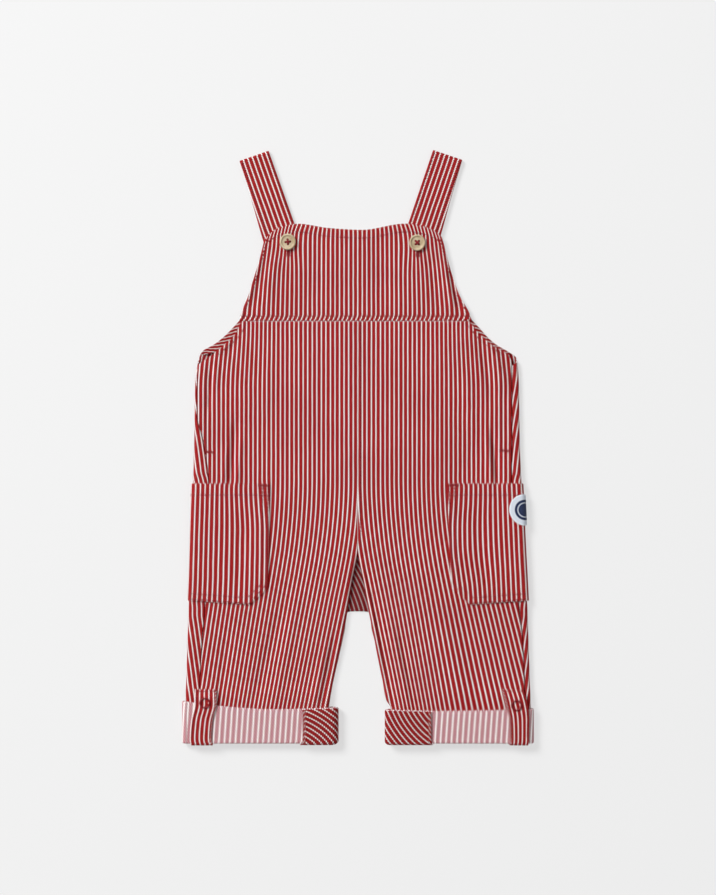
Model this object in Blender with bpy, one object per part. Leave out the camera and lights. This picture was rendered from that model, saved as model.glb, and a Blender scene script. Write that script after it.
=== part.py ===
"""Baby dungarees in striped twill, laid flat with the front up.

The garment rests on the plane z = 0.  +Y runs from the hems to the straps, +X to the right of
somebody who looks down at the front, and "left" and "right" below mean those sides.  Every cloth
piece is a wall around a middle surface.  The sizes are in millimetres and become metres in one
place, new_object().  Cloth that lies on other cloth is made from the same surface, moved out by
one LAYER.
"""
from collections import namedtuple
from math import acos
from math import cos
from math import hypot
from math import pi
from math import radians
from math import sin
from math import sqrt

import bpy
import numpy as np

# ---------------------------------------------------------------- driving sizes, millimetres
MM = 0.001                  # one millimetre in metres
WALL = 1.2                  # cloth with its seam turnings
STRAP_WALL = 1.6            # a strap is two cloths
SEAM = 0.3                  # gap between pieces that meet
SIDE_SEAM = 0.7             # the same at the side seams, where both cloths bend
LAYER = WALL + SEAM         # from the middle of one cloth to the middle of the next
FLOOR = WALL / 2            # middle of a cloth that lies on the ground

WAIST = 101.6               # height of the seam under the bib
CROTCH = -83.0              # where the front legs part
GUSSET_TOP = -74.0
GUSSET_POINT = 2.0          # height in which the back opens to the gusset's blunt tip
GUSSET_FOOT = -131.0        # lower edge of the gusset between the legs
GUSSET_DROP = 2.6           # how much lower it reaches at its sides, under the legs
CURL_END = -95.0            # below this height the inside leg is fully turned down
TURN_STRIP = 1.4            # width of one strip of that turned edge where it is still flat
INSIDE_LEG_STEPS = 3        # flats round the inside leg
WRAP_TOP = 66.0             # below this height the back is folded round the sides
ARMHOLE_FLAT = 72.0         # above this height it is flat
ARMHOLE_MARGIN = 8.0        # strip along the armhole that becomes the folded side
SIDE_PROBE = 3.0            # distance inside the side at which the heights of the cloths are read
FLAT_MARGIN = 3.0           # flat cloth between the last column under the garment and its side
EDGE_REACH = 6.0            # distance from the front's outer columns to the next one
PANEL_HEM = -231.7          # lower edge of the leg panels, inside the cuffs
FOLD_FOOT = -235.6          # middle of the cloth at the foot of the cuffs
CUFF_LINING_TOP = -232.0    # where the turned cuff meets the leg panels

POCKET_TOP = -28.4
POCKET_HIDDEN_EDGE = 100.0  # distance from the centre to the pocket's edge under the garment
POCKET_RAISE_START = 92.5   # distances from the centre between which the back cloth rises on to
POCKET_RAISE_FULL = 98.0    # the pocket
POCKET_CORNER = -109.0      # height at which the inner corner is cut off
POCKET_COLUMNS = 5          # columns of the pocket over the front
PATCH_RAISE_REACH = 13.5    # half height of the part that the patch lifts fully
PATCH_RAISE_END = 18.5      # and of all that it lifts
PATCH_RAISE_FULL = 126.0    # distance from the centre at which it lifts fully

PATCH_RADIUS = 12.5
PATCH_HEIGHT = -49.5
PATCH_AROUND = 3.2          # centre of the patch, along the cloth from the outermost line

BUTTON_RADIUS = 6.5
BUTTON_THICKNESS = 2.4
BUTTON_RIM = 1.5            # width of the raised rim
BUTTON_DISH = 0.6           # depth of the dished middle
BUTTON_SLOPE = 0.7          # width of the slope from the rim to the dish
BUTTON_EDGE = 0.5           # bevel of the upper edge
BUTTON_UNDERCUT = 1.2       # how far the underside draws in
BUTTON_UNDERCUT_HEIGHT = 0.8
BUTTON_HOLE_RADIUS = 0.85
BUTTON_HOLE_OUT = 1.6       # from the button's centre to a hole's centre
SNAP_RADIUS = 4.5
SNAP_BORE = 3.1
SNAP_THICKNESS = 1.0
SNAP_ROUND = 0.35           # bevel of its edges

STRAP_WIDTH = 24.8
STRAP_FRONT_MIDDLE = 2.7    # middle height of the strap's front layer
BACK_BIB_TOP = 158.0
TAB_TOP = -192.8
TAB_ON_LEG_END = -199.0     # here the tab steps up from the leg on to the cuff
TAB_FOOT = -238.0
TAB_INSIDE = -222.0         # end of the tab inside the leg

# ---------------------------------------------------------------- tables, millimetres
Sides = namedtuple("Sides", "y left right")

BODY_SIDE = (               # outermost cloth of the folded sides
    Sides(101.6, -124.0, 124.0),
    Sides(76.0, -127.0, 127.2),
    Sides(54.0, -130.2, 129.0),
    Sides(6.0, -131.0, 129.8),
    Sides(-30.0, -132.0, 131.2),
    Sides(-73.0, -133.4, 133.0),
    Sides(-105.0, -134.3, 134.7),
    Sides(-137.0, -135.8, 136.2),
    Sides(-185.0, -137.4, 137.8),
    Sides(-232.0, -139.1, 139.5),
)
BACK_ARMHOLE = (            # edge of the back from the underarm to the waist seam
    Sides(108.0, -91.0, 87.5),
    Sides(101.6, -95.6, 92.6),
    Sides(96.0, -100.6, 97.8),
    Sides(89.6, -107.0, 103.4),
    Sides(83.2, -115.0, 110.6),
    Sides(77.5, -124.6, 120.2),
    Sides(72.0, -127.2, 127.2),
    Sides(66.0, -128.0, 127.6),
)
FRONT_EDGE = (              # front armhole, side opening and side seam
    Sides(101.6, -93.8, 89.4),
    Sides(96.0, -95.8, 94.0),
    Sides(89.8, -99.2, 99.3),
    Sides(81.6, -108.1, 108.3),
    Sides(74.0, -117.6, 121.0),
    Sides(69.0, -124.6, 123.4),
    Sides(66.0, -128.3, 123.4),
    Sides(26.0, -128.6, 123.4),
    Sides(6.0, -123.8, 123.4),
    Sides(-28.0, -119.4, 123.0),
    Sides(-126.0, -122.2, 129.0),
    Sides(-154.0, -124.5, 132.0),
    Sides(-192.0, -126.6, 133.6),
    Sides(-232.0, -128.0, 134.2),
)
FRONT_INNER = (             # centre seam, then the inside of the legs
    Sides(101.6, -0.15, 0.15),
    Sides(-83.0, -0.15, 0.15),
    Sides(-107.0, -4.4, 4.6),
    Sides(-131.0, -8.0, 8.6),
    Sides(-153.0, -11.8, 13.0),
    Sides(-185.0, -19.0, 19.4),
    Sides(-202.0, -22.2, 22.8),
    Sides(-208.0, -23.0, 26.4),
    Sides(-232.0, -24.6, 28.0),
)
BACK_INNER = (              # centre seam, sides of the gusset, then the inside of the legs
    Sides(101.6, -0.15, 0.15),
    Sides(GUSSET_TOP, -0.15, 0.15),
    Sides(GUSSET_TOP - GUSSET_POINT, -3.3, 3.3),
    Sides(-107.0, -8.0, 8.2),
    Sides(-131.0, -11.9, 12.3),
    Sides(-141.0, -9.8, 10.6),
    Sides(-153.0, -11.8, 13.0),
    Sides(-185.0, -19.0, 19.4),
    Sides(-202.0, -22.2, 22.8),
    Sides(-208.0, -23.0, 26.4),
    Sides(-232.0, -24.6, 28.0),
)
BIB_SIDE = (
    Sides(101.6, -94.8, 91.6),
    Sides(108.8, -93.0, 89.0),
    Sides(121.6, -87.8, 81.8),
    Sides(134.4, -83.8, 77.0),
    Sides(147.2, -79.8, 73.0),
    Sides(160.0, -76.4, 69.8),
    Sides(180.0, -72.0, 64.8),
)
BACK_BIB_SIDE = (
    Sides(101.6, -94.6, 91.4),
    Sides(108.0, -90.4, 86.8),
    Sides(116.0, -86.4, 82.2),
    Sides(130.0, -80.6, 74.0),
    Sides(158.0, -76.0, 66.0),
)
POCKET_INNER = (            # inner edge of the pockets, cut off at the corner
    Sides(-28.4, -70.3, 71.4),
    Sides(-109.0, -71.8, 75.0),
    Sides(-125.4, -86.2, 89.6),
)
CuffTop = namedtuple("CuffTop", "across left right")
CUFF_TOP = (                # top edge of the cuffs, from the outer end (0) to the inner (1)
    CuffTop(0.0, -202.6, -208.6),
    CuffTop(0.1, -204.0, -209.0),
    CuffTop(0.3, -206.8, -209.6),
    CuffTop(0.6, -208.8, -210.0),
    CuffTop(1.0, -207.4, -209.2),
)
CuffEnds = namedtuple("CuffEnds", "outer inner leg_outer leg_inner")
CUFF_ENDS = {               # outermost lines of the cuff and of the leg inside it
    "left": CuffEnds(-140.6, -16.8, -139.1, -24.6),
    "right": CuffEnds(141.0, 22.0, 139.5, 28.0),
}

FrontHeight = namedtuple("FrontHeight", "y inner outer crown")
FRONT_HEIGHT = (            # middle of the front cloth above the ground
    FrontHeight(101.6, 3.8, 3.8, 0.0),
    FrontHeight(75.0, 4.3, 4.2, 0.2),
    FrontHeight(40.0, 4.8, 4.4, 0.3),
    FrontHeight(0.0, 5.0, 4.8, 0.3),
    FrontHeight(-24.0, 5.0, 5.5, 0.1),
    FrontHeight(-60.0, 5.0, 5.6, 0.0),
    FrontHeight(-126.0, 4.8, 5.6, 0.1),
    FrontHeight(-150.0, 5.0, 5.0, 0.3),
    FrontHeight(-185.0, 5.3, 5.0, 0.2),
    FrontHeight(-200.0, 6.3, 6.3, 0.0),
    FrontHeight(-232.0, 6.3, 6.3, 0.0),
)
BibTop = namedtuple("BibTop", "across y")
BIB_TOP = (                 # top edge of the bib, from its left corner (0) to its right (1)
    BibTop(0.00, 166.4),
    BibTop(0.04, 173.6),
    BibTop(0.08, 176.8),
    BibTop(0.18, 179.4),
    BibTop(0.36, 176.0),
    BibTop(0.55, 174.6),
    BibTop(0.80, 179.6),
    BibTop(0.88, 178.4),
    BibTop(0.96, 174.0),
    BibTop(1.00, 168.6),
)
BibHeight = namedtuple("BibHeight", "y middle")
BIB_HEIGHT = (
    BibHeight(101.6, 3.8),
    BibHeight(132.0, 3.8),
    BibHeight(144.0, 4.4),
    BibHeight(180.0, 4.4),
)
Raise = namedtuple("Raise", "y share")
CUFF_RAISE = (              # share of one LAYER by which the cuff lifts the back of the leg
    Raise(-232.0, 1.0),
    Raise(-199.0, 1.0),
    Raise(-187.0, 0.0),
    Raise(101.6, 0.0),
)
POCKET_RAISE = (
    Raise(-134.0, 0.0),
    Raise(-127.0, 1.0),
    Raise(-26.0, 1.0),
    Raise(-20.0, 0.0),
)
Strap = namedtuple("Strap", "fold_x fold_y front_x front_y rear_x rear_y")
STRAPS = {                  # ends of the strap's centre line: at the fold, in front and behind
    "left": Strap(-82.6, 232.6, -54.0, 150.8, -56.2, 158.3),
    "right": Strap(71.6, 233.3, 43.6, 150.6, 49.6, 158.3),
}
Button = namedtuple("Button", "x y turn")
BUTTONS = {                 # turn is the angle of the holes, in degrees
    "left": Button(-55.9, 164.8, 6.0),
    "right": Button(47.6, 164.2, 45.0),
}
Tab = namedtuple("Tab", "y centre half_width")
TABS = {                    # centre line and width of the roll-up tabs, from the top end down
    "left": (
        Tab(TAB_TOP, -121.6, 8.6),
        Tab(-204.0, -121.4, 8.8),
        Tab(-218.0, -124.4, 8.6),
        Tab(-232.0, -125.4, 8.6),
        Tab(TAB_FOOT, -124.6, 9.0),
    ),
    "right": (
        Tab(TAB_TOP, 123.6, 8.6),
        Tab(-204.0, 126.6, 8.8),
        Tab(-218.0, 128.8, 8.0),
        Tab(-232.0, 129.0, 7.6),
        Tab(TAB_FOOT, 128.6, 7.6),
    ),
}
TAB_HEIGHT = (              # height of the tab over the leg, as layers on the leg's front
    Raise(TAB_ON_LEG_END, 2.0),
    Raise(-193.4, 1.0),
    Raise(-192.0, 1.0),
)
Spot = namedtuple("Spot", "x y")
SNAPS = {
    "left": Spot(-121.9, -203.4),
    "right": Spot(126.6, -205.4),
}
FACING_EDGE = {"left": -41.6, "right": 57.0}   # where the inseam facing ends on each cuff
FACING_TURN = {"left": 4, "right": 2}          # sixths of the cuff's inner end that it covers
CUFF_ROUNDING = 0.25                           # how much fuller the fold is where it is deeper
FACING_WIDTH = 8.0                             # armhole facing, hidden part included
FACING_TOP = 106.0
FACING_FULL = 86.0                             # above this height it has its full width
FACING_FOOT = 76.0                             # its lower end, where it is narrower
FACING_FOOT_WIDTH = 3.5

SIGN = {"left": -1.0, "right": 1.0}

# rows and columns of the panels' surfaces: close together only where the form turns
BACK_ROWS = (101.4, 96, 90, 84, 78, ARMHOLE_FLAT, 70.5, 69, 67.5, WRAP_TOP, 54, 30, 18, 6, -12, -20,
             -26, -31, -36, -63, -68, GUSSET_TOP, -76, CROTCH, CURL_END, -107, -127, GUSSET_FOOT,
             -134, -141, -153, -170, -187, -199, -207, PANEL_HEM)
FRONT_ROWS = (101.4, 96, 90, 84, 78, 72, 69, WRAP_TOP, 54, 30, 18, 6, -12, -26, -63, CROTCH, CURL_END,
              -107, GUSSET_FOOT, -153, -170, -187, -199, -207, PANEL_HEM)
UNDER_COLUMNS = (40.0, 72.0, POCKET_RAISE_START, POCKET_RAISE_FULL, 112.0, PATCH_RAISE_FULL)
FRONT_FRACTIONS = (0.25, 0.5, 0.75, 1.0)
EDGE_COLUMNS = (4.5, 3.0, 1.5, 0.0)   # distances from the front's outer edge
TURN_STEPS = 6              # flats round a folded side
POCKET_ROWS = (POCKET_TOP, -31.0, -36.0, -50.0, -63.0, -68.0, -88.0, POCKET_CORNER, -116.0)
POCKET_FOOT_INNER = -125.2
POCKET_FOOT_OUTER = -122.0
BIB_ROWS = (0.0, 0.2, 0.45, 0.65, 0.8, 0.92, 1.0)         # shares of the bib's height
BIB_COLUMNS = (0.0, 0.04, 0.08, 0.18, 0.36, 0.55, 0.7, 0.8, 0.88, 0.96, 1.0)
FACING_COLUMNS = (0.02, 0.5, 1.0)                         # shares of the armhole facing's width
TAB_ROWS = (TAB_TOP, -194.4, -196.7, TAB_ON_LEG_END, -207.0, -218.0, -227.0)
TAB_COLUMNS = (-1.0, -0.33, 0.33, 1.0)                    # shares of the tab's half width

# ---------------------------------------------------------------- colours
COLOURS = {
    "twill": (0.42, 0.02, 0.03, 1.0),
    "reverse": (0.62, 0.25, 0.28, 1.0),
    "facing": (0.33, 0.02, 0.03, 1.0),
    "button": (0.60, 0.47, 0.28, 1.0),
    "snap": (0.20, 0.01, 0.02, 1.0),
    "patch": (0.62, 0.66, 0.72, 1.0),
}
ROUGHNESS = {
    "twill": 0.9,
    "reverse": 0.9,
    "facing": 0.9,
    "button": 0.5,
    "snap": 0.35,
    "patch": 0.8,
}


# ---------------------------------------------------------------- reading the tables
def read(table, column, key):
    """Value of a named column at a key, on a smooth line that never overshoots its rows."""
    rows = sorted(table, key=lambda row: row[0])
    keys = [row[0] for row in rows]
    values = [getattr(row, column) for row in rows]
    if key <= keys[0]:
        return values[0]
    if key >= keys[-1]:
        return values[-1]
    last = len(keys) - 1
    slopes = [(values[i + 1] - values[i]) / (keys[i + 1] - keys[i]) for i in range(last)]
    place = max(i for i in range(last) if keys[i] <= key)

    def tangent(i):
        if i == 0 or i == last:
            return slopes[min(i, last - 1)]
        if slopes[i - 1] * slopes[i] <= 0.0:
            return 0.0
        return 2.0 * slopes[i - 1] * slopes[i] / (slopes[i - 1] + slopes[i])

    width = keys[place + 1] - keys[place]
    t = (key - keys[place]) / width
    start = (2 * t**3 - 3 * t**2 + 1) * values[place]
    leave = (t**3 - 2 * t**2 + t) * width * tangent(place)
    end = (3 * t**2 - 2 * t**3) * values[place + 1]
    arrive = (t**3 - t**2) * width * tangent(place + 1)
    return start + leave + end + arrive


def ramp(start, end, value):
    """0 before start, 1 after end, straight in between."""
    return min(max((value - start) / (end - start), 0.0), 1.0)


def blend(a, b, share):
    return a + (b - a) * share


# ---------------------------------------------------------------- the garment's form
def back_height(side, x, y):
    """Middle of the back cloth above the ground: raised where a pocket, patch or cuff is below."""
    reach = abs(x)
    pocket = read(POCKET_RAISE, "share", y)
    pocket *= ramp(POCKET_RAISE_START, POCKET_RAISE_FULL, reach)
    cuff = read(CUFF_RAISE, "share", y)
    patch = 0.0
    if side == "right":
        patch = 1.0 - ramp(PATCH_RAISE_REACH, PATCH_RAISE_END, abs(y - PATCH_HEIGHT))
        patch *= ramp(POCKET_RAISE_FULL, PATCH_RAISE_FULL, reach)
    return FLOOR + LAYER * (max(pocket, cuff) + patch)


def front_height(side, x, y):
    """Middle of the front cloth above the ground, away from its turned edges."""
    inner = read(FRONT_INNER, side, y)
    outer = read(FRONT_EDGE, side, y)
    t = min(max((x - inner) / (outer - inner), 0.0), 1.0)
    level = blend(read(FRONT_HEIGHT, "inner", y), read(FRONT_HEIGHT, "outer", y), t)
    return level + 4.0 * t * (1.0 - t) * read(FRONT_HEIGHT, "crown", y)


Turn = namedtuple("Turn", "start radius middle quarter")


def side_turn(side, y, out=0.0):
    """The half circle round which the cloth is folded at a side, moved out by a distance."""
    edge = abs(read(BODY_SIDE, side, y)) - WALL / 2
    top = front_height(side, SIGN[side] * (edge - SIDE_PROBE), y)
    bottom = back_height(side, SIGN[side] * (edge - SIDE_PROBE), y)
    radius = (top - bottom) / 2
    return Turn(edge - radius, radius + out, (top + bottom) / 2, (radius + out) * pi / 2)


def around(side, y, run, out=0.0):
    """Point on the folded side.  run is the distance along the cloth from its outermost line,
    positive over the front and negative under the back."""
    turn = side_turn(side, y, out)
    if abs(run) <= turn.quarter:
        angle = run / turn.radius
        x = turn.start + turn.radius * cos(angle)
        return (SIGN[side] * x, y, turn.middle + turn.radius * sin(angle))
    x = SIGN[side] * (turn.start - (abs(run) - turn.quarter))
    if run > 0.0:
        return (x, y, front_height(side, x, y) + out)
    return (x, y, back_height(side, x, y) - out)


def run_at(side, y, x, out=0.0):
    """The run at which the cloth over the front passes a given x."""
    turn = side_turn(side, y, out)
    past = abs(x) - turn.start
    if past <= 0.0:
        return turn.quarter - past
    return turn.radius * acos(min(past / turn.radius, 1.0))


# ---------------------------------------------------------------- making solids
def new_object(name, points, faces, material):
    """One closed object from points in millimetres, its faces turned outwards."""
    corners = np.array(points, dtype=float)
    volume = 0.0
    for face in faces:
        for i in range(1, len(face) - 1):
            volume += np.dot(corners[face[0]], np.cross(corners[face[i]], corners[face[i + 1]]))
    if volume < 0.0:
        faces = [tuple(reversed(face)) for face in faces]
    mesh = bpy.data.meshes.new(name)
    mesh.from_pydata((corners * MM).tolist(), [], faces)
    mesh.shade_smooth()
    mesh.set_sharp_from_angle(angle=radians(50))
    mesh.materials.append(material)
    item = bpy.data.objects.new(name, mesh)
    bpy.context.scene.collection.objects.link(item)
    return item


def surface_normals(grid, ring, level):
    """Unit normals of a grid of points; in a ring the last column is beside the first.  Where
    each row keeps one height y, level keeps its normals square to y."""
    if ring:
        across = np.roll(grid, -1, axis=1) - np.roll(grid, 1, axis=1)
    else:
        across = np.gradient(grid, axis=1)
    along = np.array((0.0, -1.0, 0.0)) if level else np.gradient(grid, axis=0)
    normals = np.cross(across, along)
    return normals / np.linalg.norm(normals, axis=2, keepdims=True)


def sheet(name, rows, material, wall=WALL, ring=False, mirrored=False, level=False):
    """A cloth of even thickness around a middle surface, given as rows of points.  Its cells are
    split along the same diagonal as those of the cloth below, whose columns may run the other
    way: then it is mirrored."""
    grid = np.array(rows, dtype=float)
    normals = surface_normals(grid, ring, level)
    count, width = grid.shape[0], grid.shape[1]
    upper = (grid + normals * wall / 2).reshape(-1, 3)
    lower = (grid - normals * wall / 2).reshape(-1, 3)
    points = np.vstack([upper, lower])
    base = count * width

    def corner(i, j):
        return i * width + j % width

    faces = []
    columns = width if ring else width - 1
    for i in range(count - 1):
        for j in range(columns):
            a, b = corner(i, j), corner(i, j + 1)
            c, d = corner(i + 1, j + 1), corner(i + 1, j)
            halves = ((a, b, d), (b, c, d)) if mirrored else ((a, b, c), (a, c, d))
            for half in halves:
                faces.append(half)
                faces.append(tuple(base + k for k in reversed(half)))
    for j in range(columns):
        faces.append((corner(0, j + 1), corner(0, j), base + corner(0, j), base + corner(0, j + 1)))
        a, b = corner(count - 1, j), corner(count - 1, j + 1)
        faces.append((a, b, base + b, base + a))
    if not ring:
        for i in range(count - 1):
            a, b = corner(i, 0), corner(i + 1, 0)
            faces.append((a, b, base + b, base + a))
            a, b = corner(i + 1, width - 1), corner(i, width - 1)
            faces.append((a, b, base + b, base + a))
    return new_object(name, points, faces, material)


def disc_grid(steps):
    """Places in a unit disc, as a grid of rows, so that a round cloth has no pole."""
    marks = np.linspace(-1.0, 1.0, steps + 1)
    return [[(u * sqrt(1 - v * v / 2), v * sqrt(1 - u * u / 2)) for u in marks] for v in marks]


# ---------------------------------------------------------------- panels
def make_front(side, material):
    """A front half with its leg: butted at the centre, turned down along the inside leg."""
    sign = SIGN[side]
    rows = []
    for y in FRONT_ROWS:
        inner = read(FRONT_INNER, side, y)
        curl = ramp(CROTCH, CURL_END, y)
        start = inner + sign * WALL / 2
        low = back_height(side, start, y) + WALL / 2 + SEAM
        top = front_height(side, start, y)
        radius = top - low
        row = []
        for step in range(INSIDE_LEG_STEPS + 1):
            angle = pi / 2 * (1 - step / INSIDE_LEG_STEPS)
            flat = (inner + sign * TURN_STRIP * step, top)
            bent = (start + sign * radius * (1 - sin(angle)), low + radius * cos(angle))
            x, z = (blend(a, b, curl) for a, b in zip(flat, bent))
            row.append((x, y, z))
        end = run_at(side, y, read(FRONT_EDGE, side, y)) + SIDE_SEAM / 2
        first = row[-1][0]
        last = around(side, y, end + EDGE_COLUMNS[0] + EDGE_REACH)[0]
        for fraction in FRONT_FRACTIONS:
            x = blend(first, last, fraction)
            row.append((x, y, front_height(side, x, y)))
        row.extend(around(side, y, end + distance) for distance in EDGE_COLUMNS)
        rows.append(row)
    return sheet("front_" + side, rows, material, level=True)


def make_back(side, material):
    """A back half with its leg: flat below, folded round the side and on to the side seam.
    Along the armhole it is flat to its edge, and at the underarm the one form becomes the other."""
    sign = SIGN[side]
    rows = []
    for y in BACK_ROWS:
        turn = side_turn(side, y)
        edge = abs(read(BACK_ARMHOLE, side, y))
        end = run_at(side, y, read(FRONT_EDGE, side, y)) - SIDE_SEAM / 2
        wrapped = ramp(ARMHOLE_FLAT, WRAP_TOP, y)
        lead = (1.0 - wrapped) * (ARMHOLE_MARGIN - edge + turn.start)
        if wrapped < 1.0:
            runs = np.linspace(-lead, wrapped * (end + turn.quarter), TURN_STEPS + 2)
            runs -= turn.quarter
        elif end < turn.quarter + 1.0:
            runs = np.linspace(-turn.quarter, end, TURN_STEPS + 2)
        else:
            runs = list(np.linspace(-turn.quarter, turn.quarter, TURN_STEPS + 1)) + [end]
        if wrapped > 0.0:
            rim = [around(side, y, run) for run in runs]
        else:
            marks = np.linspace(edge - ARMHOLE_MARGIN, edge, TURN_STEPS + 2)
            rim = [(sign * x, y, FLOOR) for x in marks]
        shrink = min((abs(rim[0][0]) - FLAT_MARGIN) / UNDER_COLUMNS[-1], 1.0)
        inner = read(BACK_INNER, side, y)
        row = [(inner, y, back_height(side, inner, y))]
        for column in UNDER_COLUMNS:
            x = sign * column * shrink
            row.append((x, y, back_height(side, x, y)))
        rows.append(row + rim)
    return sheet("back_" + side, rows, material, level=True)


def make_gusset(material):
    """The gusset between the legs; its foot reaches lower where the legs cover it."""
    rows = []
    for share in np.linspace(0.0, 1.0, 8):
        row = []
        for u in np.linspace(-1.0, 1.0, 9):
            foot = GUSSET_FOOT - GUSSET_DROP * u**4
            y = blend(GUSSET_TOP - GUSSET_POINT - SEAM, foot, share)
            side = "left" if u < 0 else "right"
            limit = abs(read(BACK_INNER, side, y)) - SEAM
            row.append((u * limit, y, FLOOR))
        rows.append(row)
    return sheet("crotch_gusset", rows, material)


def make_bib(material):
    """The front bib, with rounded top corners and a dipped top edge."""
    foot = WAIST + SEAM / 2
    rows = []
    for share in BIB_ROWS:
        row = []
        for u in BIB_COLUMNS:
            y = blend(foot, read(BIB_TOP, "y", u), share)
            x = blend(read(BIB_SIDE, "left", y), read(BIB_SIDE, "right", y), u)
            row.append((x, y, read(BIB_HEIGHT, "middle", y)))
        rows.append(row)
    return sheet("bib_front", rows, material)


def make_back_bib(material):
    """The back bib, hidden under the front one; the straps are set into its top edge."""
    rows = []
    for y in np.linspace(WAIST + SEAM / 2, BACK_BIB_TOP, 6):
        left = read(BACK_BIB_SIDE, "left", y)
        right = read(BACK_BIB_SIDE, "right", y)
        rows.append([(x, y, FLOOR) for x in np.linspace(left, right, 7)])
    return sheet("bib_back", rows, material)


def make_armhole_facing(side, material):
    """The bias facing that lies on the inside of the back, along its armhole."""
    rows = []
    for y in np.linspace(FACING_TOP, FACING_FOOT, 8):
        x = read(BACK_ARMHOLE, side, y)
        ahead = read(BACK_ARMHOLE, side, y - 1.0)
        length = hypot(ahead - x, 1.0)
        inward = (-SIGN[side] / length, -abs(ahead - x) / length)
        width = blend(FACING_FOOT_WIDTH, FACING_WIDTH, ramp(FACING_FOOT, FACING_FULL, y))
        row = []
        for share in FACING_COLUMNS:
            reach = width * share
            row.append((x + inward[0] * reach, y + inward[1] * reach, FLOOR + LAYER))
        rows.append(row)
    return sheet("armhole_facing_" + side, rows, material)


# ---------------------------------------------------------------- straps
def make_strap(side, material):
    """A strap from the top edge of the back bib, up to its fold and down behind the front bib."""
    strap = STRAPS[side]
    lean = (strap.fold_x - strap.front_x, strap.fold_y - strap.front_y)
    length = hypot(lean[0], lean[1])
    up = (lean[0] / length, lean[1] / length)
    across = (up[1], -up[0])
    low = STRAP_WALL / 2
    radius = (STRAP_FRONT_MIDDLE - low) / 2
    rear = (strap.rear_x - strap.fold_x, strap.rear_y - strap.fold_y)
    rows = []
    for share in (0.0, 0.35, 0.7, 1.0):
        row = []
        for u in np.linspace(-1.0, 1.0, 4):
            side_x = across[0] * u * STRAP_WIDTH / 2
            side_y = across[1] * u * STRAP_WIDTH / 2
            level = -side_y / up[1] * (1 - share)**2
            x = strap.fold_x + rear[0] * (1 - share) + side_x + up[0] * level
            y = strap.fold_y + rear[1] * (1 - share) + side_y + up[1] * level
            row.append((x, y, low))
        rows.append(row)
    for step in range(1, 5):
        angle = pi * step / 5
        reach = radius * sin(angle)
        row = []
        for u in np.linspace(-1.0, 1.0, 4):
            x = strap.fold_x + up[0] * reach + across[0] * u * STRAP_WIDTH / 2
            y = strap.fold_y + up[1] * reach + across[1] * u * STRAP_WIDTH / 2
            row.append((x, y, low + radius * (1 - cos(angle))))
        rows.append(row)
    for share in (0.0, 0.25, 0.5, 0.75, 1.0):
        row = []
        for u in np.linspace(-1.0, 1.0, 4):
            x = strap.fold_x - lean[0] * share + across[0] * u * STRAP_WIDTH / 2
            y = strap.fold_y - lean[1] * share + across[1] * u * STRAP_WIDTH / 2
            row.append((x, y, STRAP_FRONT_MIDDLE))
        rows.append(row)
    return sheet("strap_" + side, rows, material, wall=STRAP_WALL)


# ---------------------------------------------------------------- pockets and patch
def make_pocket(side, material):
    """A patch pocket that lies over the front, round the side and under the back."""
    rows = []
    for height in POCKET_ROWS + (POCKET_FOOT_INNER,):
        row = []
        for column in range(POCKET_COLUMNS):
            share = column / POCKET_COLUMNS
            y = height
            if height == POCKET_FOOT_INNER:
                y = blend(POCKET_FOOT_INNER, POCKET_FOOT_OUTER, share)
            turn = side_turn(side, y, LAYER)
            x = blend(abs(read(POCKET_INNER, side, y)), turn.start, share)
            row.append(around(side, y, turn.quarter + turn.start - x, LAYER))
        y = max(height, POCKET_FOOT_OUTER)
        turn = side_turn(side, y, LAYER)
        for run in np.linspace(turn.quarter, -turn.quarter, TURN_STEPS + 1):
            row.append(around(side, y, run, LAYER))
        for x in (UNDER_COLUMNS[-1], UNDER_COLUMNS[-2], POCKET_HIDDEN_EDGE):
            row.append(around(side, y, -turn.quarter - (turn.start - x), LAYER))
        rows.append(row)
    return sheet("pocket_" + side, rows, material, mirrored=True, level=True)


def make_patch(material):
    """The round patch on the right pocket, folded round the side with it."""
    rows = []
    for line in disc_grid(12):
        row = []
        for u, v in line:
            run = PATCH_AROUND + u * PATCH_RADIUS
            y = PATCH_HEIGHT + v * PATCH_RADIUS
            row.append(around("right", y, run, 2 * LAYER))
        rows.append(row)
    return sheet("patch", rows, material)


# ---------------------------------------------------------------- cuffs, facings and tabs
def loop_point(first, second, low, high, place):
    """Point on a flat closed loop and its outward direction.  place 0 to 1 runs over the top
    from first to second, 1 to 2 round the second end, 2 to 3 back underneath and 3 to 4 round
    the first end."""
    radius = (high - low) / 2
    sign = 1.0 if second > first else -1.0
    start, end = first + sign * radius, second - sign * radius
    middle = (high + low) / 2
    if place < 1.0:
        return np.array([blend(start, end, place), high]), np.array([0.0, 1.0])
    if 2.0 <= place < 3.0:
        return np.array([blend(end, start, place - 2.0), low]), np.array([0.0, -1.0])
    if place < 2.0:
        angle = pi / 2 - pi * (place - 1.0)
        out = np.array([sign * cos(angle), sin(angle)])
        return np.array([end, middle]) + radius * out, out
    angle = pi / 2 - pi * (4.0 - place)
    out = np.array([-sign * cos(angle), sin(angle)])
    return np.array([start, middle]) + radius * out, out


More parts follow.
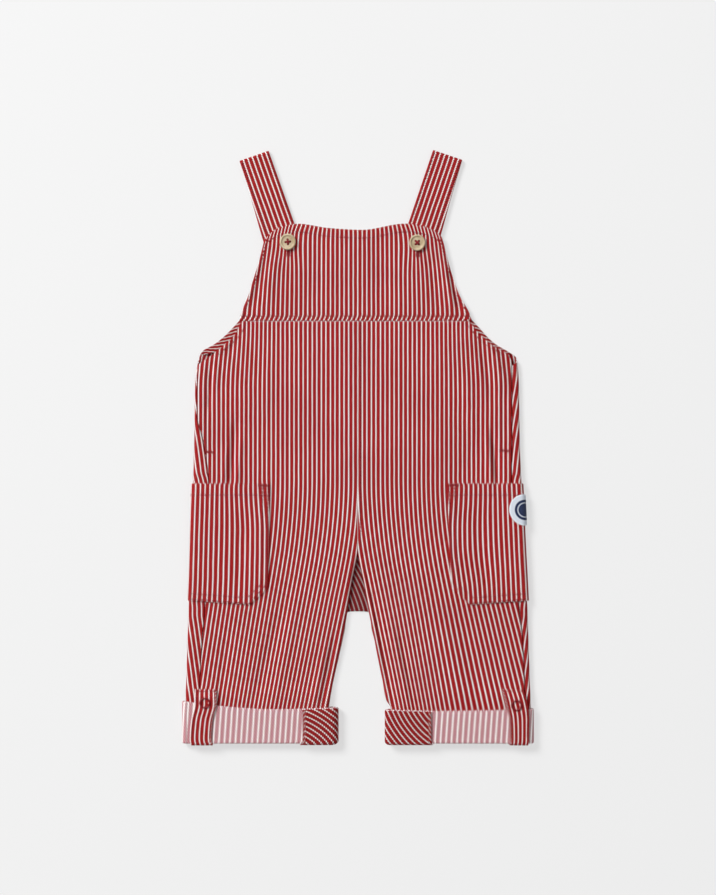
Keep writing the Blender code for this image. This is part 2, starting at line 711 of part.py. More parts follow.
def cuff_point(side, place, stage, out=0.0):
    """Point on the cuff.  stage 0 to 1 runs down the outside, 1 to 2 round the fold and 2 to 3
    up the inside, where the cloth meets the leg."""
    ends = CUFF_ENDS[side]
    half = SIGN[side] * WALL / 2
    top = read(FRONT_HEIGHT, "outer", PANEL_HEM)
    skin, normal = loop_point(ends.outer - half, ends.inner + half, FLOOR, top + LAYER, place)
    leg, _ = loop_point(ends.leg_outer - half, ends.leg_inner + half, FLOOR + LAYER, top, place)
    centre = (skin + leg) / 2
    depth = LAYER / 2 + CUFF_ROUNDING * (np.linalg.norm(skin - centre) - LAYER / 2)
    fold_y = FOLD_FOOT + depth
    across = min(place, 1.0) if place < 2.0 else max(3.0 - place, 0.0)
    if stage <= 1.0:
        spot = skin + normal * out
        y = blend(read(CUFF_TOP, side, across), fold_y, stage)
    elif stage <= 2.0:
        angle = pi * (stage - 1.0)
        spot = centre + (skin + normal * out - centre) * cos(angle)
        y = fold_y - (depth + out) * sin(angle)
    else:
        spot = leg
        y = blend(fold_y, CUFF_LINING_TOP, stage - 2.0)
    return (spot[0], y, spot[1])


def make_cuff(side, material):
    """The turned-up end of a leg, with the reverse of the cloth outside."""
    places = [0.0, 0.1, 0.3, 0.6, 0.85]
    places += [1.0 + step / 6 for step in range(6)]
    places += [2.0, 2.3, 2.65]
    places += [3.0 + step / 6 for step in range(6)]
    rows = []
    for stage in (0.0, 0.3, 0.65, 1.0, 1.25, 1.5, 1.75, 2.0, 3.0):
        rows.append([cuff_point(side, place, stage) for place in places])
    return sheet("cuff_" + side, rows, material, ring=True)


def make_inseam_facing(side, material):
    """The facing of the inside leg, which the turned cuff brings to the outside."""
    ends = CUFF_ENDS[side]
    edge = (FACING_EDGE[side] - ends.outer) / (ends.inner - ends.outer)
    places = list(np.linspace(edge, 1.0, 5))
    places += [1.0 + step / 6 for step in range(1, FACING_TURN[side] + 1)]
    rows = []
    for stage in (0.02, 0.35, 0.7, 1.0, 1.15, 1.3, 1.45):
        rows.append([cuff_point(side, place, stage, LAYER) for place in places])
    return sheet("inseam_facing_" + side, rows, material)


def make_tab(side, material):
    """The roll-up tab: over the leg and the cuff, round its foot and up inside the leg."""
    top = read(FRONT_HEIGHT, "outer", PANEL_HEM)
    radius = LAYER * 1.5
    centre_z = top + LAYER / 2
    turn_y = FOLD_FOOT + LAYER / 2
    rows = []
    for y in TAB_ROWS + (turn_y,):
        lift = LAYER * read(TAB_HEIGHT, "share", y)
        half = read(TABS[side], "half_width", y)
        centre = read(TABS[side], "centre", y)
        row = []
        for u in TAB_COLUMNS:
            x = centre + u * half
            base = top if y < TAB_ON_LEG_END else front_height(side, x, y)
            row.append((x, y, base + lift))
        rows.append(row)
    foot = read(TABS[side], "centre", TAB_FOOT)
    half = read(TABS[side], "half_width", TAB_FOOT)
    for step in range(1, 6):
        angle = pi * step / 6
        y = turn_y - radius * sin(angle)
        z = centre_z + radius * cos(angle)
        rows.append([(foot + u * half, y, z) for u in TAB_COLUMNS])
    for y in (turn_y, TAB_INSIDE):
        rows.append([(foot + u * half, y, centre_z - radius) for u in TAB_COLUMNS])
    return sheet("tab_" + side, rows, material)


# ---------------------------------------------------------------- hardware
def lathe(name, profile, material, steps=32):
    """A turned ring from a closed profile of (radius, height) pairs."""
    points = []
    for step in range(steps):
        angle = 2 * pi * step / steps
        points.extend((r * cos(angle), r * sin(angle), z) for r, z in profile)
    count = len(profile)
    faces = []
    for step in range(steps):
        here, there = step * count, (step + 1) % steps * count
        for k in range(count):
            n = (k + 1) % count
            faces.append((here + k, there + k, there + n, here + n))
    return new_object(name, points, faces, material)


def make_snap(side, material):
    """The open ring of a snap fastener, just above the cloth of its tab."""
    base = read(FRONT_HEIGHT, "outer", PANEL_HEM) + 2 * LAYER + WALL / 2 + SEAM
    profile = (
        (SNAP_BORE + SNAP_ROUND, base),
        (SNAP_RADIUS - SNAP_ROUND, base),
        (SNAP_RADIUS, base + SNAP_ROUND),
        (SNAP_RADIUS, base + SNAP_THICKNESS - SNAP_ROUND),
        (SNAP_RADIUS - SNAP_ROUND, base + SNAP_THICKNESS),
        (SNAP_BORE + SNAP_ROUND, base + SNAP_THICKNESS),
        (SNAP_BORE, base + SNAP_THICKNESS - SNAP_ROUND),
        (SNAP_BORE, base + SNAP_ROUND),
    )
    ring = lathe("snap_" + side, profile, material, steps=24)
    spot = SNAPS[side]
    ring.location = (spot.x * MM, spot.y * MM, 0.0)
    return ring


def turned_solid(name, profile, material, steps):
    """A turned disc whose profile starts and ends on the axis."""
    points = [(0.0, 0.0, profile[0][1])]
    for r, z in profile[1:-1]:
        for step in range(steps):
            angle = 2 * pi * step / steps
            points.append((r * cos(angle), r * sin(angle), z))
    points.append((0.0, 0.0, profile[-1][1]))
    last = len(points) - 1
    rings = len(profile) - 2
    faces = []
    for step in range(steps):
        after = (step + 1) % steps
        faces.append((0, 1 + after, 1 + step))
        for ring in range(rings - 1):
            a, b = 1 + ring * steps, 1 + (ring + 1) * steps
            faces.append((a + step, a + after, b + after, b + step))
        top = 1 + (rings - 1) * steps
        faces.append((top + step, top + after, last))
    return new_object(name, points, faces, material)


def make_button(side, material):
    """A four-hole button with a raised rim and a dished middle."""
    height = BUTTON_THICKNESS
    dish_edge = BUTTON_RADIUS - BUTTON_RIM
    profile = (
        (0.0, 0.0),
        (BUTTON_RADIUS - BUTTON_UNDERCUT, 0.0),
        (BUTTON_RADIUS, BUTTON_UNDERCUT_HEIGHT),
        (BUTTON_RADIUS, height - BUTTON_EDGE),
        (BUTTON_RADIUS - BUTTON_EDGE, height),
        (dish_edge, height),
        (dish_edge - BUTTON_SLOPE, height - BUTTON_DISH),
        (0.0, height - BUTTON_DISH),
    )
    item = turned_solid("button_" + side, profile, material, steps=24)
    button = BUTTONS[side]
    bib_top = read(BIB_HEIGHT, "middle", button.y) + WALL / 2
    item.location = (button.x * MM, button.y * MM, (bib_top + SEAM) * MM)
    for number in range(4):
        angle = radians(button.turn + 90 * number)
        bore = BUTTON_HOLE_RADIUS
        low, high = -height, 2 * height
        drill_profile = ((0.0, low), (bore, low), (bore, high), (0.0, high))
        drill = turned_solid("drill_%s_%d" % (side, number), drill_profile, material, steps=8)
        drill.location = item.location
        drill.location.x += BUTTON_HOLE_OUT * cos(angle) * MM
        drill.location.y += BUTTON_HOLE_OUT * sin(angle) * MM
        drill.hide_render = True
        drill.display_type = "WIRE"
        cut = item.modifiers.new("hole %d" % number, "BOOLEAN")
        cut.operation = "DIFFERENCE"
        cut.object = drill
    return item


# ---------------------------------------------------------------- the whole garment
def make_material(name):
    material = bpy.data.materials.new(name)
    material.use_nodes = True
    shader = material.node_tree.nodes["Principled BSDF"]
    shader.inputs["Base Color"].default_value = COLOURS[name]
    shader.inputs["Roughness"].default_value = ROUGHNESS[name]
    shader.inputs["Metallic"].default_value = 0.0
    material.diffuse_color = COLOURS[name]
    return material


def main():
    for item in list(bpy.data.objects):
        bpy.data.objects.remove(item, do_unlink=True)
    cloth = {name: make_material(name) for name in COLOURS}
    make_bib(cloth["twill"])
    make_back_bib(cloth["twill"])
    make_gusset(cloth["facing"])
    make_patch(cloth["patch"])
    for side in ("left", "right"):
        make_front(side, cloth["twill"])
        make_back(side, cloth["twill"])
        make_armhole_facing(side, cloth["facing"])
        make_strap(side, cloth["twill"])
        make_pocket(side, cloth["twill"])
        make_cuff(side, cloth["reverse"])
        make_inseam_facing(side, cloth["facing"])
        make_tab(side, cloth["twill"])
        make_snap(side, cloth["snap"])
        make_button(side, cloth["button"])


main()
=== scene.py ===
# %% [markdown]
# # Baby dungarees in striped twill
#
# The imported frame holds plain solids at their real size.  This lesson dresses them: every cloth
# panel becomes a fine thin shell with its own creases, and stripes follow the cut of each piece.
# The frame is loaded first.

# %% Load the frame
from collections import namedtuple
from math import cos, hypot, pi, radians, sin

import bpy
import numpy as np
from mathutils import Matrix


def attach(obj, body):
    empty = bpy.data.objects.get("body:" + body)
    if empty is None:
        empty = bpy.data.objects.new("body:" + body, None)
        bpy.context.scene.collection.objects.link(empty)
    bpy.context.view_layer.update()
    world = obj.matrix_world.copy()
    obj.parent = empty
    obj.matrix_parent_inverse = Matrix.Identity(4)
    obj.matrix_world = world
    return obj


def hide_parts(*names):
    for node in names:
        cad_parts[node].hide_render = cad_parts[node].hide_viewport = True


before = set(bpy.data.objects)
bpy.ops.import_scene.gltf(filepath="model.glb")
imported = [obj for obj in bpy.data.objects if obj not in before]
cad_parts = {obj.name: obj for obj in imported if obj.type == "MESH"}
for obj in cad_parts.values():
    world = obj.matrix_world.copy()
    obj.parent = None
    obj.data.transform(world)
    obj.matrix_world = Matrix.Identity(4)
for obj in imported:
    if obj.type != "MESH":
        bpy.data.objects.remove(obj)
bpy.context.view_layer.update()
print("frame nodes:", len(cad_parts))

# %% [markdown]
# ## Floor, light and camera
#
# The garment lies on a pale studio floor.  A bright world gives soft light from all sides, and one
# large lamp at the upper left gives the cloth its relief and a faint shadow at the lower right.
# The camera looks straight down from a distance, so that the sides don't show much.

# %% Floor, light and camera
MM = 0.001
LENS = 85.0                 # millimetres
SENSOR = 36.0               # millimetres, along the picture's long side
VIEW_HEIGHT = 716.0         # what the picture's long side shows at the cloth, millimetres
CLOTH_TOP = 5.0             # height of the cloth that the camera is set for, millimetres
VIEW_CENTRE = (0.2, 0.4)    # what the camera looks at, millimetres
FLOOR_GLOW = 0.585          # as on a light table, which keeps the shadows faint
FLOOR_GREY = (0.26, 0.26, 0.26, 1.0)
WHITE = (1.0, 1.0, 1.0, 1.0)


def plain_material(name, colour, roughness):
    material = bpy.data.materials.new(name)
    material.use_nodes = True
    shader = material.node_tree.nodes["Principled BSDF"]
    shader.inputs["Base Color"].default_value = colour
    shader.inputs["Roughness"].default_value = roughness
    return material


def make_floor():
    mesh = bpy.data.meshes.new("floor")
    reach = 6.0
    corners = [(-reach, -reach, 0), (reach, -reach, 0), (reach, reach, 0), (-reach, reach, 0)]
    mesh.from_pydata(corners, [], [(0, 1, 2, 3)])
    floor = bpy.data.objects.new("floor", mesh)
    bpy.context.scene.collection.objects.link(floor)
    glow = plain_material("studio floor", FLOOR_GREY, 0.9)
    shader = glow.node_tree.nodes["Principled BSDF"]
    shader.inputs["Emission Color"].default_value = WHITE
    shader.inputs["Emission Strength"].default_value = FLOOR_GLOW
    mesh.materials.append(glow)
    return floor


def make_lamp(name, place, size, power):
    light = bpy.data.lights.new(name, "AREA")
    light.shape = "DISK"
    light.size = size
    light.energy = power
    lamp = bpy.data.objects.new(name, light)
    lamp.location = place
    lamp.rotation_euler = (-lamp.location).to_track_quat("-Z", "Y").to_euler()
    bpy.context.scene.collection.objects.link(lamp)
    return lamp


def make_world(strength):
    world = bpy.data.worlds.new("studio")
    bpy.context.scene.world = world
    world.use_nodes = True
    background = world.node_tree.nodes["Background"]
    background.inputs["Color"].default_value = WHITE
    background.inputs["Strength"].default_value = strength


def make_camera():
    data = bpy.data.cameras.new("camera")
    data.lens = LENS
    data.sensor_width = SENSOR
    camera = bpy.data.objects.new("camera", data)
    distance = VIEW_HEIGHT * LENS / SENSOR + CLOTH_TOP
    camera.location = (VIEW_CENTRE[0] * MM, VIEW_CENTRE[1] * MM, distance * MM)
    bpy.context.scene.collection.objects.link(camera)
    bpy.context.scene.camera = camera
    return camera


make_floor()
make_world(strength=0.40)
make_lamp("key", place=(-2.7, 2.3, 2.9), size=1.8, power=232.0)
make_camera()
bpy.context.scene.view_settings.view_transform = "Standard"
print("camera height:", round(bpy.context.scene.camera.location.z, 3), "m")

# %% [markdown]
# ## The garment's own sizes
#
# The panels can be modelled by hand, or worked out from the same few measures that a pattern
# cutter writes down.  The measures win here: a table gives an outline at some heights, and a
# smooth line through its rows gives it at any height, so that panels which meet stay together.
# All sizes are in millimetres.

# %% Driving sizes
WALL = 1.2                  # cloth with its seam turnings
STRAP_WALL = 1.6
SEAM = 0.3                  # gap between pieces that meet
SIDE_SEAM = 0.7
LAYER = WALL + SEAM         # from the middle of one cloth to the middle of the next
FLOOR = WALL / 2            # middle of a cloth that lies on the ground
WAIST = 101.6               # seam under the bib
CROTCH = -83.0
GUSSET_TOP = -74.0
GUSSET_FOOT = -131.0
CURL_END = -95.0            # below this height the inside leg is fully turned down
WRAP_TOP = 66.0             # below this height the back is folded round the sides
ARMHOLE_FLAT = 72.0         # above this height it is flat
ARMHOLE_MARGIN = 8.0
PANEL_HEM = -231.7          # lower edge of the leg panels, inside the cuffs
FOLD_FOOT = -235.6          # middle of the cloth at the foot of the cuffs
CUFF_LINING_TOP = -232.0
POCKET_TOP = -28.4
POCKET_CORNER = -109.0
POCKET_FOOT_INNER = -125.2
POCKET_FOOT_OUTER = -122.0
POCKET_HIDDEN_EDGE = 100.0
PATCH_RADIUS = 12.5
PATCH_HEIGHT = -49.5
PATCH_AROUND = 3.2          # the patch's middle, along the cloth from the outermost line
BACK_BIB_TOP = 158.0
STRAP_WIDTH = 24.8
STRAP_FRONT_MIDDLE = 2.7
TAB_TOP = -192.8
TAB_FOOT = -238.0
TAB_INSIDE = -222.0
SIGN = {"left": -1.0, "right": 1.0}

# %% Outlines
Sides = namedtuple("Sides", "y left right")
BODY_SIDE = (               # outermost cloth of the folded sides
    Sides(101.6, -124.0, 124.0), Sides(76.0, -127.0, 127.2), Sides(54.0, -130.2, 129.0),
    Sides(6.0, -131.0, 129.8), Sides(-30.0, -132.0, 131.2), Sides(-73.0, -133.4, 133.0),
    Sides(-105.0, -134.3, 134.7), Sides(-137.0, -135.8, 136.2), Sides(-185.0, -137.4, 137.8),
    Sides(-232.0, -139.1, 139.5),
)
BACK_ARMHOLE = (            # edge of the back from the underarm to the waist seam
    Sides(108.0, -91.0, 87.5), Sides(101.6, -95.6, 92.6), Sides(96.0, -100.6, 97.8),
    Sides(89.6, -107.0, 103.4), Sides(83.2, -115.0, 110.6), Sides(77.5, -124.6, 120.2),
    Sides(72.0, -127.2, 127.2), Sides(66.0, -128.0, 127.6),
)
FRONT_EDGE = (              # front armhole, side opening and side seam
    Sides(101.6, -93.8, 89.4), Sides(96.0, -95.8, 94.0), Sides(89.8, -99.2, 99.3),
    Sides(81.6, -108.1, 108.3), Sides(74.0, -117.6, 121.0), Sides(69.0, -124.6, 123.4),
    Sides(66.0, -128.3, 123.4), Sides(26.0, -128.6, 123.4), Sides(6.0, -123.8, 123.4),
    Sides(-28.0, -119.4, 123.0), Sides(-126.0, -122.2, 129.0), Sides(-154.0, -124.5, 132.0),
    Sides(-192.0, -126.6, 133.6), Sides(-232.0, -128.0, 134.2),
)
FRONT_INNER = (             # centre seam, then the inside of the legs
    Sides(101.6, -0.15, 0.15), Sides(-83.0, -0.15, 0.15), Sides(-107.0, -4.4, 4.6),
    Sides(-131.0, -8.0, 8.6), Sides(-153.0, -11.8, 13.0), Sides(-185.0, -19.0, 19.4),
    Sides(-202.0, -22.2, 22.8), Sides(-208.0, -23.0, 26.4), Sides(-232.0, -24.6, 28.0),
)
BACK_INNER = (              # centre seam, sides of the gusset, then the inside of the legs
    Sides(101.6, -0.15, 0.15), Sides(-74.0, -0.15, 0.15), Sides(-76.0, -3.3, 3.3),
    Sides(-107.0, -8.0, 8.2), Sides(-131.0, -11.9, 12.3), Sides(-141.0, -9.8, 10.6),
    Sides(-153.0, -11.8, 13.0), Sides(-185.0, -19.0, 19.4), Sides(-202.0, -22.2, 22.8),
    Sides(-208.0, -23.0, 26.4), Sides(-232.0, -24.6, 28.0),
)
BIB_SIDE = (
    Sides(101.6, -94.8, 91.6), Sides(108.8, -93.0, 89.0), Sides(121.6, -87.8, 81.8),
    Sides(134.4, -83.8, 77.0), Sides(147.2, -79.8, 73.0), Sides(160.0, -76.4, 69.8),
    Sides(180.0, -72.0, 64.8),
)
BACK_BIB_SIDE = (
    Sides(101.6, -94.6, 91.4), Sides(108.0, -90.4, 86.8), Sides(116.0, -86.4, 82.2),
    Sides(130.0, -80.6, 74.0), Sides(158.0, -76.0, 66.0),
)
POCKET_INNER = (
    Sides(-28.4, -70.3, 71.4), Sides(-109.0, -71.8, 75.0), Sides(-125.4, -86.2, 89.6),
)
CuffTop = namedtuple("CuffTop", "across left right")
CUFF_TOP = (                # top edge of the cuffs, from the outer end (0) to the inner (1)
    CuffTop(0.0, -202.6, -208.6), CuffTop(0.1, -204.0, -209.0), CuffTop(0.3, -206.8, -209.6),
    CuffTop(0.6, -208.8, -210.0), CuffTop(1.0, -207.4, -209.2),
)
CuffEnds = namedtuple("CuffEnds", "outer inner leg_outer leg_inner")
CUFF_ENDS = {
    "left": CuffEnds(-140.6, -16.8, -139.1, -24.6),
    "right": CuffEnds(141.0, 22.0, 139.5, 28.0),
}
print("width over the cuffs:", round(CUFF_ENDS["right"].outer - CUFF_ENDS["left"].outer, 1), "mm")

# %% Heights and small parts
FrontHeight = namedtuple("FrontHeight", "y inner outer crown")
FRONT_HEIGHT = (            # middle of the front cloth above the ground
    FrontHeight(101.6, 3.8, 3.8, 0.0), FrontHeight(75.0, 4.3, 4.2, 0.2),
    FrontHeight(40.0, 4.8, 4.4, 0.3), FrontHeight(0.0, 5.0, 4.8, 0.3),
    FrontHeight(-24.0, 5.0, 5.5, 0.1), FrontHeight(-60.0, 5.0, 5.6, 0.0),
    FrontHeight(-126.0, 4.8, 5.6, 0.1), FrontHeight(-150.0, 5.0, 5.0, 0.3),
    FrontHeight(-185.0, 5.3, 5.0, 0.2), FrontHeight(-200.0, 6.3, 6.3, 0.0),
    FrontHeight(-232.0, 6.3, 6.3, 0.0),
)
BibTop = namedtuple("BibTop", "across y")
BIB_TOP = (
    BibTop(0.00, 166.4), BibTop(0.04, 173.6), BibTop(0.08, 176.8), BibTop(0.18, 179.4),
    BibTop(0.36, 176.0), BibTop(0.55, 174.6), BibTop(0.80, 179.6), BibTop(0.88, 178.4),
    BibTop(0.96, 174.0), BibTop(1.00, 168.6),
)
BibHeight = namedtuple("BibHeight", "y middle")
BIB_HEIGHT = (
    BibHeight(101.6, 3.8), BibHeight(132.0, 3.8), BibHeight(144.0, 4.4), BibHeight(180.0, 4.4),
)
Raise = namedtuple("Raise", "y share")
CUFF_RAISE = (Raise(-232.0, 1.0), Raise(-199.0, 1.0), Raise(-187.0, 0.0), Raise(101.6, 0.0))
POCKET_RAISE = (Raise(-134.0, 0.0), Raise(-127.0, 1.0), Raise(-26.0, 1.0), Raise(-20.0, 0.0))
TAB_HEIGHT = (Raise(-199.0, 2.0), Raise(-193.4, 1.0), Raise(-192.0, 1.0))
Strap = namedtuple("Strap", "fold_x fold_y front_x front_y rear_x rear_y")
STRAPS = {
    "left": Strap(-82.6, 232.6, -54.0, 150.8, -56.2, 158.3),
    "right": Strap(71.6, 233.3, 43.6, 150.6, 49.6, 158.3),
}
Button = namedtuple("Button", "x y turn")
BUTTONS = {"left": Button(-55.9, 164.8, 6.0), "right": Button(47.6, 164.2, 45.0)}
Tab = namedtuple("Tab", "y centre half_width")
TABS = {
    "left": (
        Tab(-192.8, -121.6, 8.6), Tab(-204.0, -121.4, 8.8), Tab(-218.0, -124.4, 8.6),
        Tab(-232.0, -125.4, 8.6), Tab(-238.0, -124.6, 9.0),
    ),
    "right": (
        Tab(-192.8, 123.6, 8.6), Tab(-204.0, 126.6, 8.8), Tab(-218.0, 128.8, 8.0),
        Tab(-232.0, 129.0, 7.6), Tab(-238.0, 128.6, 7.6),
    ),
}
Spot = namedtuple("Spot", "x y")
SNAPS = {"left": Spot(-121.9, -203.4), "right": Spot(126.6, -205.4)}
FACING_EDGE = {"left": -41.6, "right": 57.0}
FACING_TURN = {"left": 4, "right": 2}
CUFF_ROUNDING = 0.25
print("straps:", len(STRAPS), "tabs:", len(TABS))

# %% [markdown]
# ## Reading the tables
#
# A smooth line through table rows can overshoot between them.  A monotone line doesn't: its slope
# at a row is the harmonic mean of the slopes on both sides, or zero at a turning point.  The
# functions below take whole arrays, because a fine panel has ten thousand points.

# %% Lines through tables
def read(table, column, key):
    rows = sorted(table, key=lambda row: row[0])
    keys = np.array([row[0] for row in rows])
    values = np.array([getattr(row, column) for row in rows])
    slopes = np.diff(values) / np.diff(keys)
    tangents = np.concatenate([slopes[:1], np.zeros(len(keys) - 2), slopes[-1:]])
    before, after = slopes[:-1], slopes[1:]
    same_way = before * after > 0
    total = np.where(same_way, before + after, 1.0)
    tangents[1:-1] = np.where(same_way, 2 * before * after / total, 0.0)
    key = np.clip(key, keys[0], keys[-1])
    place = np.clip(np.searchsorted(keys, key, side="right") - 1, 0, len(keys) - 2)
    width = keys[place + 1] - keys[place]
    t = (key - keys[place]) / width
    start = (2 * t**3 - 3 * t**2 + 1) * values[place]
    leave = (t**3 - 2 * t**2 + t) * width * tangents[place]
    end = (3 * t**2 - 2 * t**3) * values[place + 1]
    arrive = (t**3 - t**2) * width * tangents[place + 1]
    return start + leave + end + arrive


def ramp(start, end, value):
    return np.clip((value - start) / (end - start), 0.0, 1.0)


def smooth(start, end, value):
    t = ramp(start, end, value)
    return t * t * (3 - 2 * t)


def blend(a, b, share):
    return a + (b - a) * share


print("waist width:", round(float(read(FRONT_EDGE, "right", WAIST) - read(FRONT_EDGE, "left", WAIST)), 1))

# %% [markdown]
# ## The folded sides
#
# The back is cut wider than the front: it goes round each side and meets the front on top.  So a
# point there is best given by its distance along the cloth from the outermost line, which is
# called its run.  Cloth that lies on top of it keeps the same run and is moved out by one layer.

# %% The garment's form
Turn = namedtuple("Turn", "start radius middle quarter")


POCKET_SLOPE = (92.5, 98.0)     # distances from the centre between which the back rises
PATCH_SLOPE = (98.0, 126.0)     # over the pocket's hidden edge, and over the patch's
PATCH_CLEAR = (13.5, 18.5)      # distances from the patch's middle between which it falls again


def back_height(side, x, y):
    reach = np.abs(x)
    pocket = read(POCKET_RAISE, "share", y) * ramp(*POCKET_SLOPE, reach)
    cuff = read(CUFF_RAISE, "share", y)
    patch = 0.0
    if side == "right":
        patch = (1.0 - ramp(*PATCH_CLEAR, np.abs(y - PATCH_HEIGHT))) * ramp(*PATCH_SLOPE, reach)
    return FLOOR + LAYER * (np.maximum(pocket, cuff) + patch)


def front_height(side, x, y):
    inner = read(FRONT_INNER, side, y)
    outer = read(FRONT_EDGE, side, y)
    t = np.clip((x - inner) / (outer - inner), 0.0, 1.0)
    level = blend(read(FRONT_HEIGHT, "inner", y), read(FRONT_HEIGHT, "outer", y), t)
    return level + 4.0 * t * (1.0 - t) * read(FRONT_HEIGHT, "crown", y)


def side_turn(side, y, out=0.0):
    edge = np.abs(read(BODY_SIDE, side, y)) - WALL / 2
    top = front_height(side, SIGN[side] * (edge - 3.0), y)
    bottom = back_height(side, SIGN[side] * (edge - 3.0), y)
    radius = (top - bottom) / 2
    return Turn(edge - radius, radius + out, (top + bottom) / 2, (radius + out) * pi / 2)


def around(side, y, run, out=0.0):
    """Points on the folded side, and how far out each would lie if the cloth were unrolled."""
    turn = side_turn(side, y, out)
    angle = np.clip(run, -turn.quarter, turn.quarter) / turn.radius
    past = np.maximum(np.abs(run) - turn.quarter, 0.0)
    reach = turn.start + turn.radius * np.cos(angle) - past
    x = SIGN[side] * reach
    bent = turn.middle + turn.radius * np.sin(angle)
    over = front_height(side, x, y) + out
    under = back_height(side, x, y) - out
    z = np.where(np.abs(run) <= turn.quarter, bent, np.where(run > 0.0, over, under))
    return np.stack([x, y + 0.0 * x, z], axis=-1), turn.start + turn.quarter - run


def run_at(side, y, x, out=0.0):
    turn = side_turn(side, y, out)
    past = np.abs(x) - turn.start
    angle = np.arccos(np.clip(past / turn.radius, 0.0, 1.0))
    return np.where(past <= 0.0, turn.quarter - past, turn.radius * angle)


print("fold radius at the hip:", round(float(side_turn("left", 0.0).radius), 2), "mm")

# %% [markdown]
# ## Creases
#
# Cloth that has been folded and laid out keeps soft troughs and ridges.  A simulation would place them by
# chance, so they are listed one by one: each has two ends, a width and a depth.  The same relief moves
# all layers of the front, so that nothing cuts through its neighbour.

# %% Creases listed one by one
Crease = namedtuple("Crease", "x0 y0 x1 y1 width depth")
CREASES = (
    Crease(-98.0, 20.0, -101.0, -27.0, 3.4, -1.1),
    Crease(-93.0, 8.0, -97.0, -27.0, 3.0, 0.7),
    Crease(-106.0, -2.0, -107.5, -27.0, 2.6, 0.5),
    Crease(-117.0, 66.0, -119.5, 30.0, 2.4, -0.7),
    Crease(-113.0, 70.0, -115.0, 44.0, 2.6, 0.5),
    Crease(-96.0, 92.0, -103.0, 74.0, 3.0, -0.5),
    Crease(108.0, 12.0, 112.0, -27.0, 3.2, -1.1),
    Crease(103.0, 16.0, 106.0, -27.0, 3.0, 0.6),
    Crease(104.0, 90.0, 118.0, 52.0, 4.0, 0.7),
    Crease(98.0, 84.0, 108.0, 40.0, 4.0, -0.6),
    Crease(86.0, 60.0, 92.0, 10.0, 6.0, 0.4),
    Crease(-70.0, 80.0, -74.0, 30.0, 7.0, 0.3),
    Crease(6.0, -95.0, 13.0, -125.0, 2.6, -1.0),
    Crease(13.0, -125.0, 28.0, -203.0, 3.6, -1.0),
    Crease(9.0, -118.0, 20.0, -190.0, 3.0, 0.6),
    Crease(24.0, -132.0, 42.0, -205.0, 4.2, 0.5),
    Crease(34.0, -150.0, 44.0, -206.0, 4.0, -0.5),
    Crease(-18.0, -150.0, -28.0, -205.0, 3.4, -0.7),
    Crease(-26.0, -160.0, -36.0, -205.0, 3.6, 0.4),
    Crease(-60.0, -128.0, -84.0, -206.0, 6.0, -0.45),
    Crease(-48.0, -120.0, -66.0, -200.0, 6.0, 0.35),
    Crease(-104.0, -150.0, -110.0, -200.0, 5.0, -0.3),
    Crease(84.0, -140.0, 98.0, -204.0, 6.0, -0.35),
    Crease(66.0, -128.0, 82.0, -200.0, 6.0, 0.3),
    Crease(-74.0, 150.0, -84.0, 112.0, 3.2, -0.5),
    Crease(-66.0, 152.0, -72.0, 116.0, 3.6, 0.3),
    Crease(74.0, 142.0, 82.0, 110.0, 3.0, -0.9),
    Crease(68.0, 148.0, 76.0, 116.0, 3.2, 0.6),
    Crease(58.0, 150.0, 64.0, 112.0, 4.6, -0.4),
    Crease(-20.0, 168.0, -24.0, 112.0, 9.0, 0.25),
    Crease(18.0, 166.0, 20.0, 112.0, 9.0, -0.25),
    Crease(-90.0, -60.0, -96.0, -112.0, 6.0, -0.3),
    Crease(96.0, -52.0, 102.0, -108.0, 6.0, -0.3),
)
CREASE_DEPTH = 2.6          # creases are set deep, because soft light hides a shallow one
CREASE_WIDTH = 0.75
Ripple = namedtuple("Ripple", "across along phase height")
RIPPLES = (                 # long low waves all over the cloth, in radians for each millimetre
    Ripple(0.052, 0.011, 0.3, 0.16), Ripple(-0.035, 0.027, 1.9, 0.14),
    Ripple(0.021, -0.043, 4.1, 0.12), Ripple(0.09, 0.02, 2.6, 0.06),
)


def relief(x, y):
    """Height that creases and ripples add to the front at (x, y)."""
    height = sum(r.height * np.sin(r.across * x + r.along * y + r.phase) for r in RIPPLES)
    for crease in CREASES:
        along = np.array([crease.x1 - crease.x0, crease.y1 - crease.y0])
        length = hypot(*along)
        along = along / length
        t = ((x - crease.x0) * along[0] + (y - crease.y0) * along[1]) / length
        off = (x - crease.x0) * along[1] - (y - crease.y0) * along[0]
        taper = smooth(-0.25, 0.3, t) * smooth(1.25, 0.8, t)
        trough = np.exp(-(off / crease.width / CREASE_WIDTH)**2)
        height = height + CREASE_DEPTH * crease.depth * trough * taper
    hold = smooth(2.0, 9.0, np.abs(y - WAIST))
    return height * blend(0.35, 1.0, hold)


print("creases:", len(CREASES))

# %% [markdown]
# ## From a surface to cloth
#
# Each panel is worked out as a grid of points on the middle of its cloth.  Solidify could give it
# its wall, but here the wall is built by hand: both skins share the grid, the cloth thins a little
# at its edges, and each point carries its place in the cut cloth as a UV in millimetres.  Stripes
# that read this UV follow the cut, also round a fold.

# %% Marks along an edge
EDGE_MARKS = (0.25, 0.8)    # extra points near an edge, for its rounding, millimetres
THIN = (0.5, 0.85)          # share of the wall at the edge and at its first extra point


def marks(length, step):
    """Places from 0 to 1, about a step apart, with extra ones near both ends."""
    inner = EDGE_MARKS[-1] / length
    count = max(int(length / step), 2)
    middle = np.linspace(inner, 1.0 - inner, count + 1)
    near = np.array([0.0, EDGE_MARKS[0] / length])
    return np.concatenate([near, middle, 1.0 - near[::-1]])


def thinning(count, ring):
    factor = np.ones(count)
    if not ring:
        factor[0] = factor[-1] = THIN[0]
        factor[1] = factor[-2] = THIN[1]
    return factor


print("marks on 10 mm:", len(marks(10.0, 2.0)))

